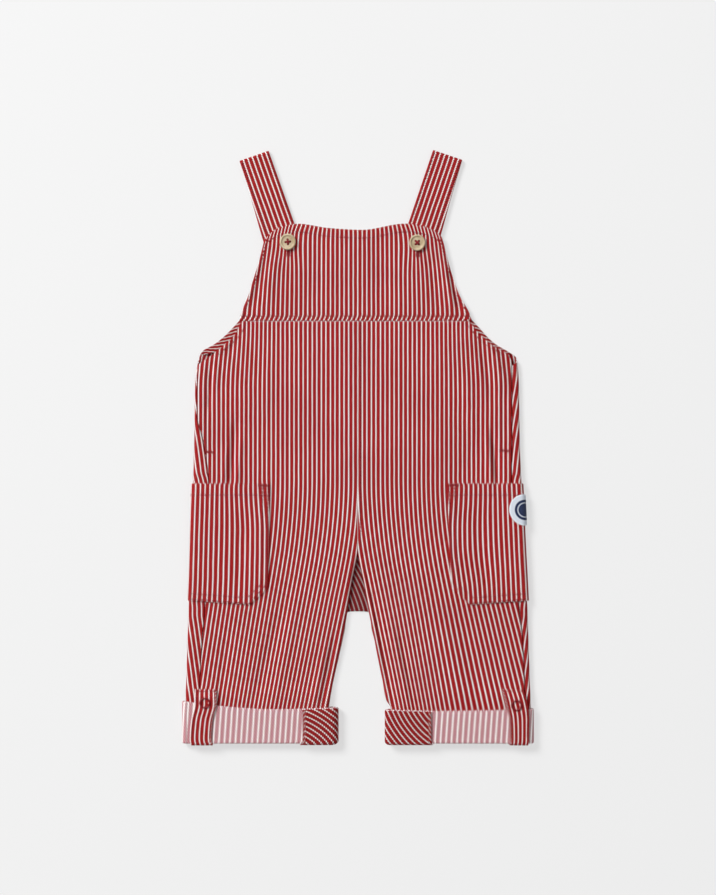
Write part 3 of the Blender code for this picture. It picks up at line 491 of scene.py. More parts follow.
# %% The cloth maker
def normals_of(grid, ring, level):
    if ring:
        across = np.roll(grid, -1, axis=1) - np.roll(grid, 1, axis=1)
    else:
        across = np.gradient(grid, axis=1)
    along = np.array((0.0, -1.0, 0.0)) if level else np.gradient(grid, axis=0)
    normals = np.cross(across, along)
    return normals / np.maximum(np.linalg.norm(normals, axis=2, keepdims=True), 1e-9)


def new_mesh(name, points, faces, slots, face_slots=None, uv=None, smooth_angle=50):
    mesh = bpy.data.meshes.new(name)
    mesh.from_pydata((np.asarray(points) * MM).tolist(), [], [tuple(int(k) for k in f) for f in faces])
    mesh.shade_smooth()
    mesh.set_sharp_from_angle(angle=radians(smooth_angle))
    for slot in slots:
        mesh.materials.append(slot)
    if face_slots is not None:
        mesh.polygons.foreach_set("material_index", np.asarray(face_slots, dtype=np.int32))
    if uv is not None:
        layer = mesh.uv_layers.new(name="cut")
        corners = np.empty(len(mesh.loops), dtype=np.int32)
        mesh.loops.foreach_get("vertex_index", corners)
        layer.data.foreach_set("uv", np.asarray(uv)[corners].astype(np.float32).ravel())
    item = bpy.data.objects.new(name, mesh)
    bpy.context.scene.collection.objects.link(item)
    return item


def cloth(name, grid, uv, outside, inside, wall=WALL, ring=False, level=False, facing_up=True,
          still=False):
    """A thin wall round a grid of points; outside and inside are the materials of its two skins.
    facing_up says whether the outer skin of its flat part looks up.  still cloth has no creases."""
    normals = normals_of(grid, ring, level)
    if ring:
        centre = grid.mean(axis=1, keepdims=True)
        outward = np.sum(normals[0] * (grid[0] - centre[0])) > 0
    else:
        middle = normals[:, normals.shape[1] // 2, 2].mean() if facing_up else normals[:, 2, 2].mean()
        outward = middle > 0 if facing_up else middle < 0
    if not outward:
        normals = -normals
    rows, columns = grid.shape[:2]
    half = wall / 2 * thinning(rows, False)[:, None, None] * thinning(columns, ring)[None, :, None]
    if not still:
        lift = relief(grid[..., 0], grid[..., 1]) * np.maximum(normals[..., 2], 0.0)**2
        grid = grid + np.stack([0 * lift, 0 * lift, lift], axis=-1)
    skins = (grid + normals * half, grid - normals * half)
    points = np.concatenate([skin.reshape(-1, 3) for skin in skins])
    base = rows * columns
    index = np.arange(base).reshape(rows, columns)
    after = np.roll(index, -1, axis=1) if ring else index[:, 1:]
    before = index if ring else index[:, :-1]
    outer = np.stack([before[:-1], after[:-1], after[1:], before[1:]], axis=-1).reshape(-1, 4)
    inner = outer[:, ::-1] + base
    top = np.stack([after[0], before[0], before[0] + base, after[0] + base], axis=-1)
    foot = np.stack([before[-1], after[-1], after[-1] + base, before[-1] + base], axis=-1)
    rims = [top, foot]
    if not ring:
        first, last = index[:, 0], index[:, -1]
        rims.append(np.stack([first[:-1], first[1:], first[1:] + base, first[:-1] + base], axis=-1))
        rims.append(np.stack([last[1:], last[:-1], last[:-1] + base, last[1:] + base], axis=-1))
    rim = np.concatenate(rims)
    faces = np.concatenate([outer, inner, rim])
    a, b, c = (points[faces[:, k]] for k in (0, 1, 2))
    if np.sum(a * np.cross(b, c)) + np.sum(a * np.cross(c, points[faces[:, 3]])) < 0:
        faces = faces[:, ::-1]
    slots = [0] * len(outer) + [1] * len(inner) + [0] * len(rim)
    flat_uv = np.concatenate([uv.reshape(-1, 2), uv.reshape(-1, 2)])
    return new_mesh(name, points, faces, (outside, inside), slots, flat_uv)


print("cloth wall:", WALL, "mm")

# %% [markdown]
# ## Writing shader maths as Python
#
# A striped twill is a lot of small arithmetic.  Placing every Math node by hand hides the idea, so
# a small class wraps a node's output and overloads the operators: `1 - mask` adds a Math node.

# %% Sockets that can be calculated with
class Value:
    """A node's output on which Python's operators add Math nodes."""

    def __init__(self, shader, socket):
        self.shader = shader
        self.socket = socket

    def _math(self, operation, *others):
        return self.shader.node("ShaderNodeMath", {"operation": operation}, *others)

    def __add__(self, other):
        return self._math("ADD", self, other)

    def __radd__(self, other):
        return self._math("ADD", other, self)

    def __sub__(self, other):
        return self._math("SUBTRACT", self, other)

    def __rsub__(self, other):
        return self._math("SUBTRACT", other, self)

    def __mul__(self, other):
        return self._math("MULTIPLY", self, other)

    def __rmul__(self, other):
        return self._math("MULTIPLY", other, self)

    def __truediv__(self, other):
        return self._math("DIVIDE", self, other)

    def __rtruediv__(self, other):
        return self._math("DIVIDE", other, self)

    def fract(self):
        return self._math("FRACT", self)

    def size(self):
        return self._math("ABSOLUTE", self)

    def root(self):
        return self._math("SQRT", self)

    def between(self, low, high):
        """0 below low and 1 above high, with a smooth step from one to the other."""
        settings = {"interpolation_type": "SMOOTHSTEP"}
        return self.shader.node("ShaderNodeMapRange", settings, self, low, high, 0.0, 1.0)


class Shader:
    """A new material with a Principled shader, and one method that adds any other node."""

    def __init__(self, name, roughness=0.9, sheen=0.0):
        self.material = bpy.data.materials.new(name)
        self.material.use_nodes = True
        self.tree = self.material.node_tree
        self.surface = self.tree.nodes["Principled BSDF"]
        self.surface.inputs["Roughness"].default_value = roughness
        self.surface.inputs["Sheen Weight"].default_value = sheen
        self.surface.inputs["Specular IOR Level"].default_value = 0.25

    def node(self, kind, settings=None, *inputs, output=0, **named):
        node = self.tree.nodes.new(kind)
        for key, value in (settings or {}).items():
            setattr(node, key, value)
        for key, value in list(enumerate(inputs)) + list(named.items()):
            socket = node.inputs[key.replace("_", " ") if isinstance(key, str) else key]
            if isinstance(value, Value):
                self.tree.links.new(value.socket, socket)
            elif value is not None:
                socket.default_value = value
        return Value(self, node.outputs[output])

    def cut(self):
        """Across and along the cut cloth, in millimetres."""
        uv = self.node("ShaderNodeUVMap", {"uv_map": "cut"})
        parts = self.node("ShaderNodeSeparateXYZ", None, uv)
        node = parts.socket.node
        return Value(self, node.outputs["X"]), Value(self, node.outputs["Y"])

    def place(self):
        return self.node("ShaderNodeTexCoord", output="Object")

    def mix(self, first, second, share):
        node = self.tree.nodes.new("ShaderNodeMix")
        node.data_type = "RGBA"
        for socket, value in ((node.inputs[0], share), (node.inputs[6], first), (node.inputs[7], second)):
            if isinstance(value, Value):
                self.tree.links.new(value.socket, socket)
            else:
                socket.default_value = value
        return Value(self, node.outputs[2])

    def noise(self, vector, scale, detail=2.0, roughness=0.5):
        values = {"Vector": vector, "Scale": scale, "Detail": detail, "Roughness": roughness}
        return self.node("ShaderNodeTexNoise", None, **values)

    def vector(self, x, y, z=0.0):
        return self.node("ShaderNodeCombineXYZ", None, x, y, z)

    def finish(self, colour, height=None, distance=0.0002, strength=1.0):
        self.tree.links.new(colour.socket, self.surface.inputs["Base Color"])
        if height is not None:
            bump = self.node("ShaderNodeBump", None, Strength=strength, Distance=distance, Height=height)
            self.tree.links.new(bump.socket, self.surface.inputs["Normal"])
        return self.material


print("shader helper ready")

# %% [markdown]
# ## Striped twill
#
# The cloth is a three-to-one twill: red warp with a white stripe every few millimetres.  Its
# diagonal ribs show as a fine grain on the red and as a serrated edge on the white stripes.  An
# image would have to be painted and would blur; a formula in the cut's own coordinates stays sharp
# on every piece.

# %% Striped twill, face and reverse
STRIPE_PITCH = 3.64         # millimetres
STRIPE_WHITE = 0.19         # share of the pitch that is white
RIB_PITCH = 2.0             # twill ribs, measured along the stripe
RIB_SLOPE = 1.25
SERRATION = 0.20            # how far the ribs eat into a white stripe's edge, as a share of the pitch
DRIFT = 0.35                # how far a stripe strays from its line, millimetres
EDGE_SOFTNESS = 0.05
FADE = 0.10
SHADE_RED = 0.10            # red of the dark mix colour; painted shade makes it darker still on pieces given less light
REVERSE_PITCH = 4.4         # the reverse's stripes and ribs, millimetres
REVERSE_RIB_PITCH = 2.0
REVERSE_RIB_SLOPE = 0.78
RED = (0.33, 0.002, 0.004, 1.0)
RED_DARK = (0.085, 0.0, 0.001, 1.0)
RED_LIGHT = (0.56, 0.045, 0.04, 1.0)
CREAM = (0.98, 0.98, 0.96, 1.0)
CREAM_SHADE = (0.74, 0.60, 0.59, 1.0)
PINK = (0.27, 0.03, 0.05, 1.0)
PINK_LIGHT = (0.74, 0.45, 0.48, 1.0)
PINK_YARN = (0.45, 0.05, 0.08, 1.0)


def twill(name, lit_share=1.0):
    """Face of the cloth.  A share of light below 1 paints shade into its colour, for a piece that lies in
    shadow.
    """
    shader = Shader(name, roughness=0.9, sheen=0.04)
    across, along = shader.cut()
    wander = shader.noise(shader.vector(across * 0.05, along * 0.05), 1.0) - 0.5
    rib = (along + across * RIB_SLOPE + wander * 0.6) / RIB_PITCH
    rib_place = (rib.fract() - 0.5).size() * 2.0
    serration = (rib_place - 0.5) * SERRATION
    drift = shader.noise(shader.vector(across * 0.12, along * 0.07), 1.0) - 0.5
    stripe = ((across + drift * DRIFT) / STRIPE_PITCH + 0.5).fract() - 0.5
    edge = stripe.size() + serration + wander * 0.03
    half = STRIPE_WHITE / 2
    white = 1.0 - edge.between(half - EDGE_SOFTNESS, half + EDGE_SOFTNESS)
    yarn = shader.noise(shader.vector(across * 1.5, along * 0.7), 1.0, 3.0, 0.7)
    red = shader.mix(RED, RED_DARK, rib_place.between(0.45, 0.9) * 0.85)
    red = shader.mix(red, RED_LIGHT, yarn.between(0.48, 0.64) * 0.65)
    cream = shader.mix(CREAM, CREAM_SHADE, rib_place.between(0.7, 1.0) * 0.5)
    colour = shader.mix(red, cream, white)
    fade = shader.noise(shader.vector(across * 0.02, along * 0.02), 1.0)
    # Painted shade: a piece given less than full light is mixed towards dark red, as if it lay in shadow;
    # the fade noise adds a faint random darkening of the cloth itself.
    shade = (SHADE_RED * lit_share, 0.002, 0.004, 1.0)
    colour = shader.mix(colour, shade, fade.between(0.35, 0.75) * FADE + (1.0 - lit_share))
    height = (1.0 - rib_place) * 0.6 + yarn * 0.5 + white * 0.5
    return shader.finish(colour, height, distance=0.00018, strength=0.7)


def twill_reverse(name):
    """Reverse of the cloth: mostly weft, so pale, with the ribs in pink."""
    shader = Shader(name, roughness=0.88, sheen=0.12)
    across, along = shader.cut()
    rib = (along * REVERSE_RIB_SLOPE - across) / REVERSE_RIB_PITCH
    rib_place = (rib.fract() - 0.5).size() * 2.0
    stripe = (across / REVERSE_PITCH + 0.5).fract() - 0.5
    white = 1.0 - (stripe.size() + (rib_place - 0.5) * 0.30).between(0.10, 0.17)
    yarn = shader.noise(shader.vector(across * 2.2, along * 2.2), 1.0, 3.0, 0.7)
    pink = shader.mix(PINK_LIGHT, PINK, rib_place.between(0.2, 0.55) * 0.85)
    pink = shader.mix(pink, PINK_YARN, yarn.between(0.55, 0.8) * 0.4)
    colour = shader.mix(pink, CREAM, white)
    height = (1.0 - rib_place) * 0.7 + yarn * 0.4
    return shader.finish(colour, height, distance=0.0002, strength=0.8)


face = twill("striped twill")
# Two copies of the face with shade painted in: one for cloth that lies in shadow, one much darker for the
# gusset recessed between the legs.
shaded = twill("striped twill, painted shade", lit_share=0.78)
painted_deep_shade = twill("striped twill, painted deep shade", lit_share=0.42)
reverse = twill_reverse("striped twill, reverse")
print("materials:", face.name, "|", shaded.name, "|", reverse.name)

# %% [markdown]
# ## How the stripes run
#
# Stripes follow the thread of the cloth.  On the body they are upright.  The legs are spread, so
# from the hip down the stripes of each front lean outwards, more at the inside leg than at the
# side.  The back's stripes lean the other way where it comes round to the front, as in any
# garment whose side seam isn't on the thread.

# %% The lean of the stripes
LEAN_START = -24.0          # height below which the fronts' stripes begin to lean
LEAN_GROWTH = 76.0          # height in which the lean grows to its full value
Lean = namedtuple("Lean", "cut left right")
LEAN = (                    # full lean of a stripe, by its place in the cut
    Lean(0.0, 0.207, 0.208), Lean(40.0, 0.185, 0.178),
    Lean(75.0, 0.162, 0.222), Lean(115.0, 0.145, 0.262),
)
BACK_LEAN = 0.20
BACK_LEAN_CENTRE = 60.0     # height at which the back's stripes are where they were cut
GATHER = 3.8                # how far the fronts' outer stripes draw in below the armholes


def leaned(side, reach, y):
    """Place in the cut of a point that lies so far from the centre of the garment."""
    below = np.maximum(LEAN_START - y, 0.0)
    grown = np.where(below < LEAN_GROWTH, below**2 / (2 * LEAN_GROWTH), below - LEAN_GROWTH / 2)
    cut = reach
    for _ in range(5):
        cut = reach - read(LEAN, side, np.clip(cut, LEAN[0].cut, LEAN[-1].cut)) * grown
    return cut + GATHER * smooth(46.0, 100.0, y) * smooth(55.0, 118.0, reach)


def back_cut(distance, y):
    """Place in the cut of the back, from the distance along the cloth from its centre."""
    lean = blend(0.4, 1.0, smooth(60.0, 135.0, distance)) * BACK_LEAN
    return distance + lean * (y - BACK_LEAN_CENTRE)


hem_place = float(leaned("left", np.array(20.0), np.array(-200.0)))
print("20 mm out at the left hem is this far out in the cut:", round(hem_place, 1), "mm")

# %% [markdown]
# ## The panels
#
# Front and back are each cut in two halves with their legs.  A front is butted at the centre,
# turned down along the inside leg, and ends on the folded side.  A back is flat below, goes round
# the side and comes up to the side seam; along the armhole it stays flat.

# %% Fronts
CELL = 1.6                  # size of a fine grid's cells, millimetres
PANEL_TOP = 101.4           # upper edge of the leg panels, just under the waist seam
INNER_STEP = 4.2            # width of the columns beside the centre seam
EDGE_RUNS = (9.0, 7.0, 5.2, 3.8, 2.6, 1.6, 0.8, 0.3, 0.0)   # columns beside the side seam


def heights(top, foot, step=CELL):
    return top + (foot - top) * marks(abs(top - foot), step)


def make_front(side):
    sign = SIGN[side]
    y = heights(PANEL_TOP, PANEL_HEM)[:, None]
    inner = read(FRONT_INNER, side, y)
    curl = ramp(CROTCH, CURL_END, y)
    start = inner + sign * WALL / 2
    low = back_height(side, start, y) + WALL / 2 + SEAM
    top = front_height(side, start, y)
    radius = top - low
    angle = np.linspace(pi / 2, 0.0, 8)[None, :]
    step = (1.0 - angle * 2 / pi) * INNER_STEP
    bent_x = blend(inner + sign * step, start + sign * radius * (1 - np.sin(angle)), curl)
    bent_z = blend(top + 0 * angle, low + radius * np.cos(angle), curl)
    end = run_at(side, y, read(FRONT_EDGE, side, y)) + SIDE_SEAM / 2
    first = bent_x[:, -1:]
    edge_runs = end + np.array(EDGE_RUNS)[None, :]
    edge, _ = around(side, y, edge_runs)
    share = np.linspace(0.0, 1.0, 70)[None, 1:-1]
    flat_x = blend(first, edge[:, :1, 0], share)
    flat_z = front_height(side, flat_x, y)
    x = np.concatenate([bent_x, flat_x, edge[..., 0]], axis=1)
    z = np.concatenate([bent_z, flat_z, edge[..., 2]], axis=1)
    grid = np.stack([x, y + 0 * x, z], axis=-1)
    steps = np.hypot(np.diff(x, axis=1), np.diff(z, axis=1))
    along = np.concatenate([0 * x[:, :1], np.cumsum(steps, axis=1)], axis=1)
    middle = 28             # a column on the flat part, from which the cut is measured
    reach = np.abs(x[:, middle:middle + 1]) + along - along[:, middle:middle + 1]
    uv = np.stack([sign * leaned(side, reach, y), y + 0 * x], axis=-1)
    return cloth("front_" + side, grid, uv, face, reverse, level=True)


# %% Backs
def make_back(side):
    sign = SIGN[side]
    upper = heights(PANEL_TOP, ARMHOLE_FLAT)
    lower = heights(WRAP_TOP, PANEL_HEM)
    between = np.linspace(ARMHOLE_FLAT, WRAP_TOP, 7)[1:-1]
    rows, cuts = [], []
    steps = 14
    for y in np.concatenate([upper[:-2], [ARMHOLE_FLAT], between, [WRAP_TOP], lower[2:]]):
        turn = side_turn(side, y)
        edge = abs(read(BACK_ARMHOLE, side, y))
        end = run_at(side, y, read(FRONT_EDGE, side, y)) - SIDE_SEAM / 2
        wrapped = ramp(ARMHOLE_FLAT, WRAP_TOP, y)
        lead = (1.0 - wrapped) * (ARMHOLE_MARGIN - edge + turn.start)
        runs = np.linspace(-lead, wrapped * (end + turn.quarter), steps + 4) - turn.quarter
        if wrapped >= 1.0 and end > turn.quarter + 1.0:
            over = np.linspace(turn.quarter, end, 5)[1:]
            runs = np.concatenate([np.linspace(-turn.quarter, turn.quarter, steps), over])
        if wrapped > 0.0:
            rim, reach = around(side, y, runs)
        else:
            reach = np.linspace(edge - ARMHOLE_MARGIN, edge, steps + 4)
            rim = np.stack([sign * reach, y + 0 * reach, FLOOR + 0 * reach], axis=-1)
        inner = abs(read(BACK_INNER, side, y))
        flat = np.linspace(inner, abs(rim[0][0]), 46)[:-1]
        row = np.stack([sign * flat, y + 0 * flat, back_height(side, sign * flat, y)], axis=-1)
        rows.append(np.concatenate([row, rim]))
        first_reach = abs(rim[0][0])
        travelled = first_reach + np.abs(reach - reach[0])
        cuts.append(np.concatenate([flat, travelled]))
    grid, distance = np.array(rows), np.array(cuts)
    y = grid[..., 1]
    uv = np.stack([sign * back_cut(distance, y), y], axis=-1)
    # The back's inside shows only in the slit of the armhole; it gets the twill with painted shade.
    return cloth("back_" + side, grid, uv, face, shaded, level=True, facing_up=False)


panels = {}
for side in SIGN:
    panels["front_" + side] = make_front(side)
    panels["back_" + side] = make_back(side)
print("panel points:", {name: len(item.data.vertices) for name, item in panels.items()})

# %% Gusset and bibs
GUSSET_BOW = 2.6            # how far the gusset's foot hangs down at its sides
Slant = namedtuple("Slant", "across along bend")
GUSSET_SLANT = Slant(0.96, 0.27, 0.0048)


def make_gusset():
    share = marks(57.0, 2.0)[:, None]
    u = (marks(22.0, 1.6) * 2.0 - 1.0)[None, :]
    foot = GUSSET_FOOT - GUSSET_BOW * u**4
    y = blend(GUSSET_TOP - 2.0 - SEAM, foot, share)
    limit = np.where(u < 0, np.abs(read(BACK_INNER, "left", y)), read(BACK_INNER, "right", y)) - SEAM
    x = u * limit
    grid = np.stack([x, y, FLOOR + 0 * x], axis=-1)
    slant = x * GUSSET_SLANT.across + (y + 100.0) * GUSSET_SLANT.along
    slant = slant + GUSSET_SLANT.bend * (y + 128.0)**2
    uv = np.stack([slant * 1.05, y - 0.4 * x], axis=-1)
    # The gusset lies recessed between the legs; its colour has deep shade painted in.
    return cloth("crotch_gusset", grid, uv, painted_deep_shade, painted_deep_shade, facing_up=True, still=True)


def pinch(x, y):
    """How far the buttons draw the stripes of the bib towards themselves."""
    pull = 0.0
    for button in BUTTONS.values():
        dx, dy = x - button.x, y - (button.y - 3.0)
        near = np.exp(-(dx**2 + (dy / 1.5)**2) / 90.0)
        pull = pull + dx * near * 0.34
    return pull


BIB_REST = 118.0            # height at which the bib's stripes are where they were cut
BIB_FOLLOW = 0.45           # how much the outer stripes follow the bib's sides
BIB_FOLLOW_REACH = 14.0
WAIST_ROW = 105.8           # stitches above the waist seam
SEAM_SLIP = 0.5             # how much the stripes slant in the turned edge at the seam
HEM_DEPTH = 6.6
HEM_SLIP = 0.28


def make_bib():
    u = marks(185.0, 2.0)[None, :]
    share = marks(78.0, 2.0)[:, None]
    y = blend(WAIST + SEAM / 2, read(BIB_TOP, "y", u), share)
    left, right = read(BIB_SIDE, "left", y), read(BIB_SIDE, "right", y)
    x = blend(left, right, u)
    grid = np.stack([x, y, read(BIB_HEIGHT, "middle", y)], axis=-1)
    follow = 0.0
    for side, edge, inside in (("left", left, x - left), ("right", right, right - x)):
        drawn_in = edge - read(BIB_SIDE, side, BIB_REST)
        follow = follow + drawn_in * BIB_FOLLOW * np.exp(-inside / BIB_FOLLOW_REACH)
    seam_slip = SEAM_SLIP * np.maximum(WAIST_ROW - y, 0.0)
    hem = read(BIB_TOP, "y", u) - HEM_DEPTH
    hem_slip = -np.sign(x) * HEM_SLIP * np.maximum(y - hem, 0.0) * smooth(10.0, 45.0, np.abs(x))
    cut = x - follow + pinch(x, y) + seam_slip - hem_slip
    uv = np.stack([cut, y], axis=-1)
    return cloth("bib_front", grid, uv, face, reverse)


def make_back_bib():
    y = heights(WAIST + SEAM / 2, BACK_BIB_TOP, 3.0)[:, None]
    left, right = read(BACK_BIB_SIDE, "left", y), read(BACK_BIB_SIDE, "right", y)
    x = blend(left, right, marks(170.0, 3.0)[None, :])
    grid = np.stack([x, y + 0 * x, FLOOR + 0 * x], axis=-1)
    uv = np.stack([x, y + 0 * x], axis=-1)
    return cloth("bib_back", grid, uv, face, reverse, facing_up=False, still=True)


panels["crotch_gusset"] = make_gusset()
panels["bib_front"] = make_bib()
panels["bib_back"] = make_back_bib()
print("bib points:", len(panels["bib_front"].data.vertices))

# %% [markdown]
# ## Facings, straps and pockets
#
# A facing is a narrow strip cut on the slant, so its stripes look like rope.  A strap is one long
# double strip: up from the back bib, over its fold and down behind the front bib.  A pocket is
# sewn over the side seam, so it goes round the side with the cloth below it.

# %% Armhole facings
def make_armhole_facing(side):
    y = heights(106.0, 76.0, 1.2)[:, None]
    x = read(BACK_ARMHOLE, side, y)
    ahead = read(BACK_ARMHOLE, side, y - 1.0)
    length = np.hypot(ahead - x, 1.0)
    inward_x = -SIGN[side] / length
    inward_y = -np.abs(ahead - x) / length
    width = blend(3.5, 8.0, ramp(76.0, 86.0, y))
    reach = width * (0.02 + 0.98 * marks(8.0, 1.0)[None, :])
    x_grid = x + inward_x * reach
    y_grid = y + inward_y * reach
    grid = np.stack([x_grid, y_grid, FLOOR + LAYER + 0 * x_grid], axis=-1)
    travelled = np.concatenate([[0.0], np.cumsum(np.hypot(np.diff(x[:, 0]), np.diff(y[:, 0])))])[:, None]
    uv = np.stack([travelled * 0.74 + reach * 1.26, reach + 0 * travelled], axis=-1)
    # Both skins of the facing get the twill with painted shade.
    return cloth("armhole_facing_" + side, grid, uv, shaded, shaded, still=True)


# %% Straps
STRAP_PITCH = 3.8
STRAP_FIRST = 2.6           # first white stripe, from the inner edge
STRAP_FLARE = 3.4           # how much wider the strap is at the bib, on its outer edge


def strap_frame(strap):
    """From a strap's front end to its fold, and the directions up and across the strap."""
    lean = np.array([strap.fold_x - strap.front_x, strap.fold_y - strap.front_y])
    up = lean / hypot(*lean)
    return lean, up, np.array([up[1], -up[0]])


def make_strap(side):
    strap = STRAPS[side]
    lean, up, across = strap_frame(strap)
    low = STRAP_WALL / 2
    radius = (STRAP_FRONT_MIDDLE - low) / 2
    rear = np.array([strap.rear_x - strap.fold_x, strap.rear_y - strap.fold_y])
    u = (marks(STRAP_WIDTH, 1.6) * 2.0 - 1.0)[None, :]
    side_x = across[0] * u * STRAP_WIDTH / 2
    side_y = across[1] * u * STRAP_WIDTH / 2
    parts = []
    share = np.linspace(0.0, 1.0, 30)[:, None]
    level = -side_y / up[1] * (1 - share)**2
    parts.append((strap.fold_x + rear[0] * (1 - share) + side_x + up[0] * level,
                  strap.fold_y + rear[1] * (1 - share) + side_y + up[1] * level, low + 0 * level))
    angle = (pi * np.arange(1, 10) / 10)[:, None]
    reach = radius * np.sin(angle)
    parts.append((strap.fold_x + up[0] * reach + side_x, strap.fold_y + up[1] * reach + side_y,
                  low + radius * (1 - np.cos(angle)) + 0 * u))
    share = np.linspace(0.0, 1.0, 42)[:, None]
    inner = -SIGN[side]
    flare = -inner * STRAP_FLARE * smooth(0.0, 0.9, share) * (1.0 - inner * u) / 2
    parts.append((strap.fold_x - lean[0] * share + side_x + across[0] * flare,
                  strap.fold_y - lean[1] * share + side_y + across[1] * flare,
                  STRAP_FRONT_MIDDLE + 0 * share * u))
    grid = np.concatenate([np.stack(part, axis=-1) for part in parts])
    travelled = np.concatenate([[0.0], np.cumsum(np.linalg.norm(np.diff(grid[:, 8], axis=0), axis=1))])
    place = u * STRAP_WIDTH / 2 + np.concatenate([np.zeros((len(grid) - len(flare), u.shape[1])), flare])
    cut = (STRAP_WIDTH / 2 - inner * place - STRAP_FIRST) / STRAP_PITCH * STRIPE_PITCH
    uv = np.stack([cut, travelled[:, None] + 0 * u], axis=-1)
    return cloth("strap_" + side, grid, uv, face, face, wall=STRAP_WALL, facing_up=True, still=True)


# %% Pockets
Bow = namedtuple("Bow", "depth back")
POCKET_BOW = {"left": Bow(2.0, 0.2), "right": Bow(2.0, 1.6)}    # how the outer stripes bow
POCKET_EASE = 0.955         # the pocket's cut against the distance on the body
POCKET_FAN = 0.0004         # and how much it narrows with each millimetre down


def make_pocket(side):
    down = POCKET_TOP + (POCKET_FOOT_INNER - POCKET_TOP) * marks(97.0, CELL)
    rows, cuts = [], []
    for height in down:
        turn_y = max(height, POCKET_FOOT_OUTER)
        inner = abs(read(POCKET_INNER, side, height))
        column = np.linspace(0.0, 1.0, 34)[:-1]
        y = blend(height, turn_y, column)
        turn = side_turn(side, y, LAYER)
        x = blend(inner, turn.start, column)
        over, reach_over = around(side, y, turn.quarter + turn.start - x, LAYER)
        turn = side_turn(side, turn_y, LAYER)
        runs = np.linspace(turn.quarter, -turn.quarter, 15)
        bend, reach_bend = around(side, turn_y, runs, LAYER)
        behind = np.linspace(turn.start, POCKET_HIDDEN_EDGE, 16)[1:]
        under, reach_under = around(side, turn_y, -turn.quarter - (turn.start - behind), LAYER)
        rows.append(np.concatenate([over, bend, under]))
        cuts.append(np.concatenate([reach_over, reach_bend, reach_under]))
    grid, reach = np.array(rows), np.array(cuts)
    y = grid[..., 1]
    fan = 1.0 + POCKET_FAN * (y - POCKET_TOP)
    edge = read(BODY_SIDE, side, y)
    bow = POCKET_BOW[side]
    bowed = bow.depth * smooth(-30.0, -68.0, y) * (1.0 - bow.back * smooth(-78.0, -122.0, y))
    cut = (reach - np.abs(edge)) * POCKET_EASE * fan + bowed * smooth(122.0, 84.0, reach)
    cut = cut - cut[0, 0] + STRIPE_PITCH / 2
    uv = np.stack([SIGN[side] * cut, y], axis=-1)
    return cloth("pocket_" + side, grid, uv, face, reverse, level=True, facing_up=True)


for side in SIGN:
    panels["armhole_facing_" + side] = make_armhole_facing(side)
    panels["strap_" + side] = make_strap(side)
    panels["pocket_" + side] = make_pocket(side)
print("pieces so far:", len(panels))

# %% [markdown]
# ## Cuffs, their facings and the tabs
#
# The legs are turned up, so the cuffs show the pale reverse of the cloth, and the facing of the
# inside leg comes to the outside in face cloth.  Each tab starts inside the leg, goes round the
# foot of the cuff and is snapped on to the leg.

# %% Cuffs
def loop_point(first, second, low, high, place):
    radius = (high - low) / 2
    sign = 1.0 if second > first else -1.0
    start, end = first + sign * radius, second - sign * radius
    middle = (high + low) / 2
    if place < 1.0:
        return np.array([blend(start, end, place), high]), np.array([0.0, 1.0])
    if 2.0 <= place < 3.0:
        return np.array([blend(end, start, place - 2.0), low]), np.array([0.0, -1.0])
    if place < 2.0:
        angle = pi / 2 - pi * (place - 1.0)
        out = np.array([sign * cos(angle), sin(angle)])
        return np.array([end, middle]) + radius * out, out
    angle = pi / 2 - pi * (4.0 - place)
    out = np.array([-sign * cos(angle), sin(angle)])
    return np.array([start, middle]) + radius * out, out


def cuff_point(side, place, stage, out=0.0):
    ends = CUFF_ENDS[side]
    half = SIGN[side] * WALL / 2
    top = float(read(FRONT_HEIGHT, "outer", PANEL_HEM))
    skin, normal = loop_point(ends.outer - half, ends.inner + half, FLOOR, top + LAYER, place)
    leg, _ = loop_point(ends.leg_outer - half, ends.leg_inner + half, FLOOR + LAYER, top, place)
    centre = (skin + leg) / 2
    depth = LAYER / 2 + CUFF_ROUNDING * (np.linalg.norm(skin - centre) - LAYER / 2)
    fold_y = FOLD_FOOT + depth
    across = min(place, 1.0) if place < 2.0 else max(3.0 - place, 0.0)
    if stage <= 1.0:
        spot = skin + normal * out
        y = blend(float(read(CUFF_TOP, side, across)), fold_y, stage)
    elif stage <= 2.0:
        angle = pi * (stage - 1.0)
        spot = centre + (skin + normal * out - centre) * cos(angle)
        y = fold_y - (depth + out) * sin(angle)
    else:
        spot = leg
        y = blend(fold_y, CUFF_LINING_TOP, stage - 2.0)
    return (spot[0], y, spot[1])


def lengths(grid):
    """Distance along the rows and down the columns of a grid."""
    along = np.linalg.norm(np.diff(grid, axis=1), axis=2)
    down = np.linalg.norm(np.diff(grid, axis=0), axis=2)
    along = np.concatenate([0 * along[:, :1], np.cumsum(along, axis=1)], axis=1)
    down = np.concatenate([0 * down[:1], np.cumsum(down, axis=0)])
    return along, down


CUFF_LEAN = 0.07            # how far the cuffs' stripes lean


def make_cuff(side):
    ends = CUFF_ENDS[side]
    width = abs(ends.inner - ends.outer)
    flat = list(marks(width, 2.4)[:-1])
    turn = list(np.linspace(0.0, 1.0, 13)[:-1])
    places = flat + [1.0 + t for t in turn] + [2.0 + t for t in flat] + [3.0 + t for t in turn]
    stages = list(np.linspace(0.0, 1.0, 18)) + list(np.linspace(1.0, 2.0, 9))[1:] + [2.5, 3.0]
    stages = [0.0, 0.008, 0.03] + stages[1:]
    grid = np.array([[cuff_point(side, place, stage) for place in places] for stage in stages])
    along, down = lengths(grid)
    run = along[2:3] - along[2, 0] + 0 * down
    uv = np.stack([run - SIGN[side] * CUFF_LEAN * (down - 18.0), down], axis=-1)
    return cloth("cuff_" + side, grid, uv, reverse, face, ring=True, still=True)


# %% Inseam facings
Centre = namedtuple("Centre", "along down")
ROPE_WIDTH = 1.9            # a turned edge whose stripes run round it like the strands of a rope
FACING_CENTRE = {"left": Centre(-22.0, 62.0), "right": Centre(-33.0, -26.0)}


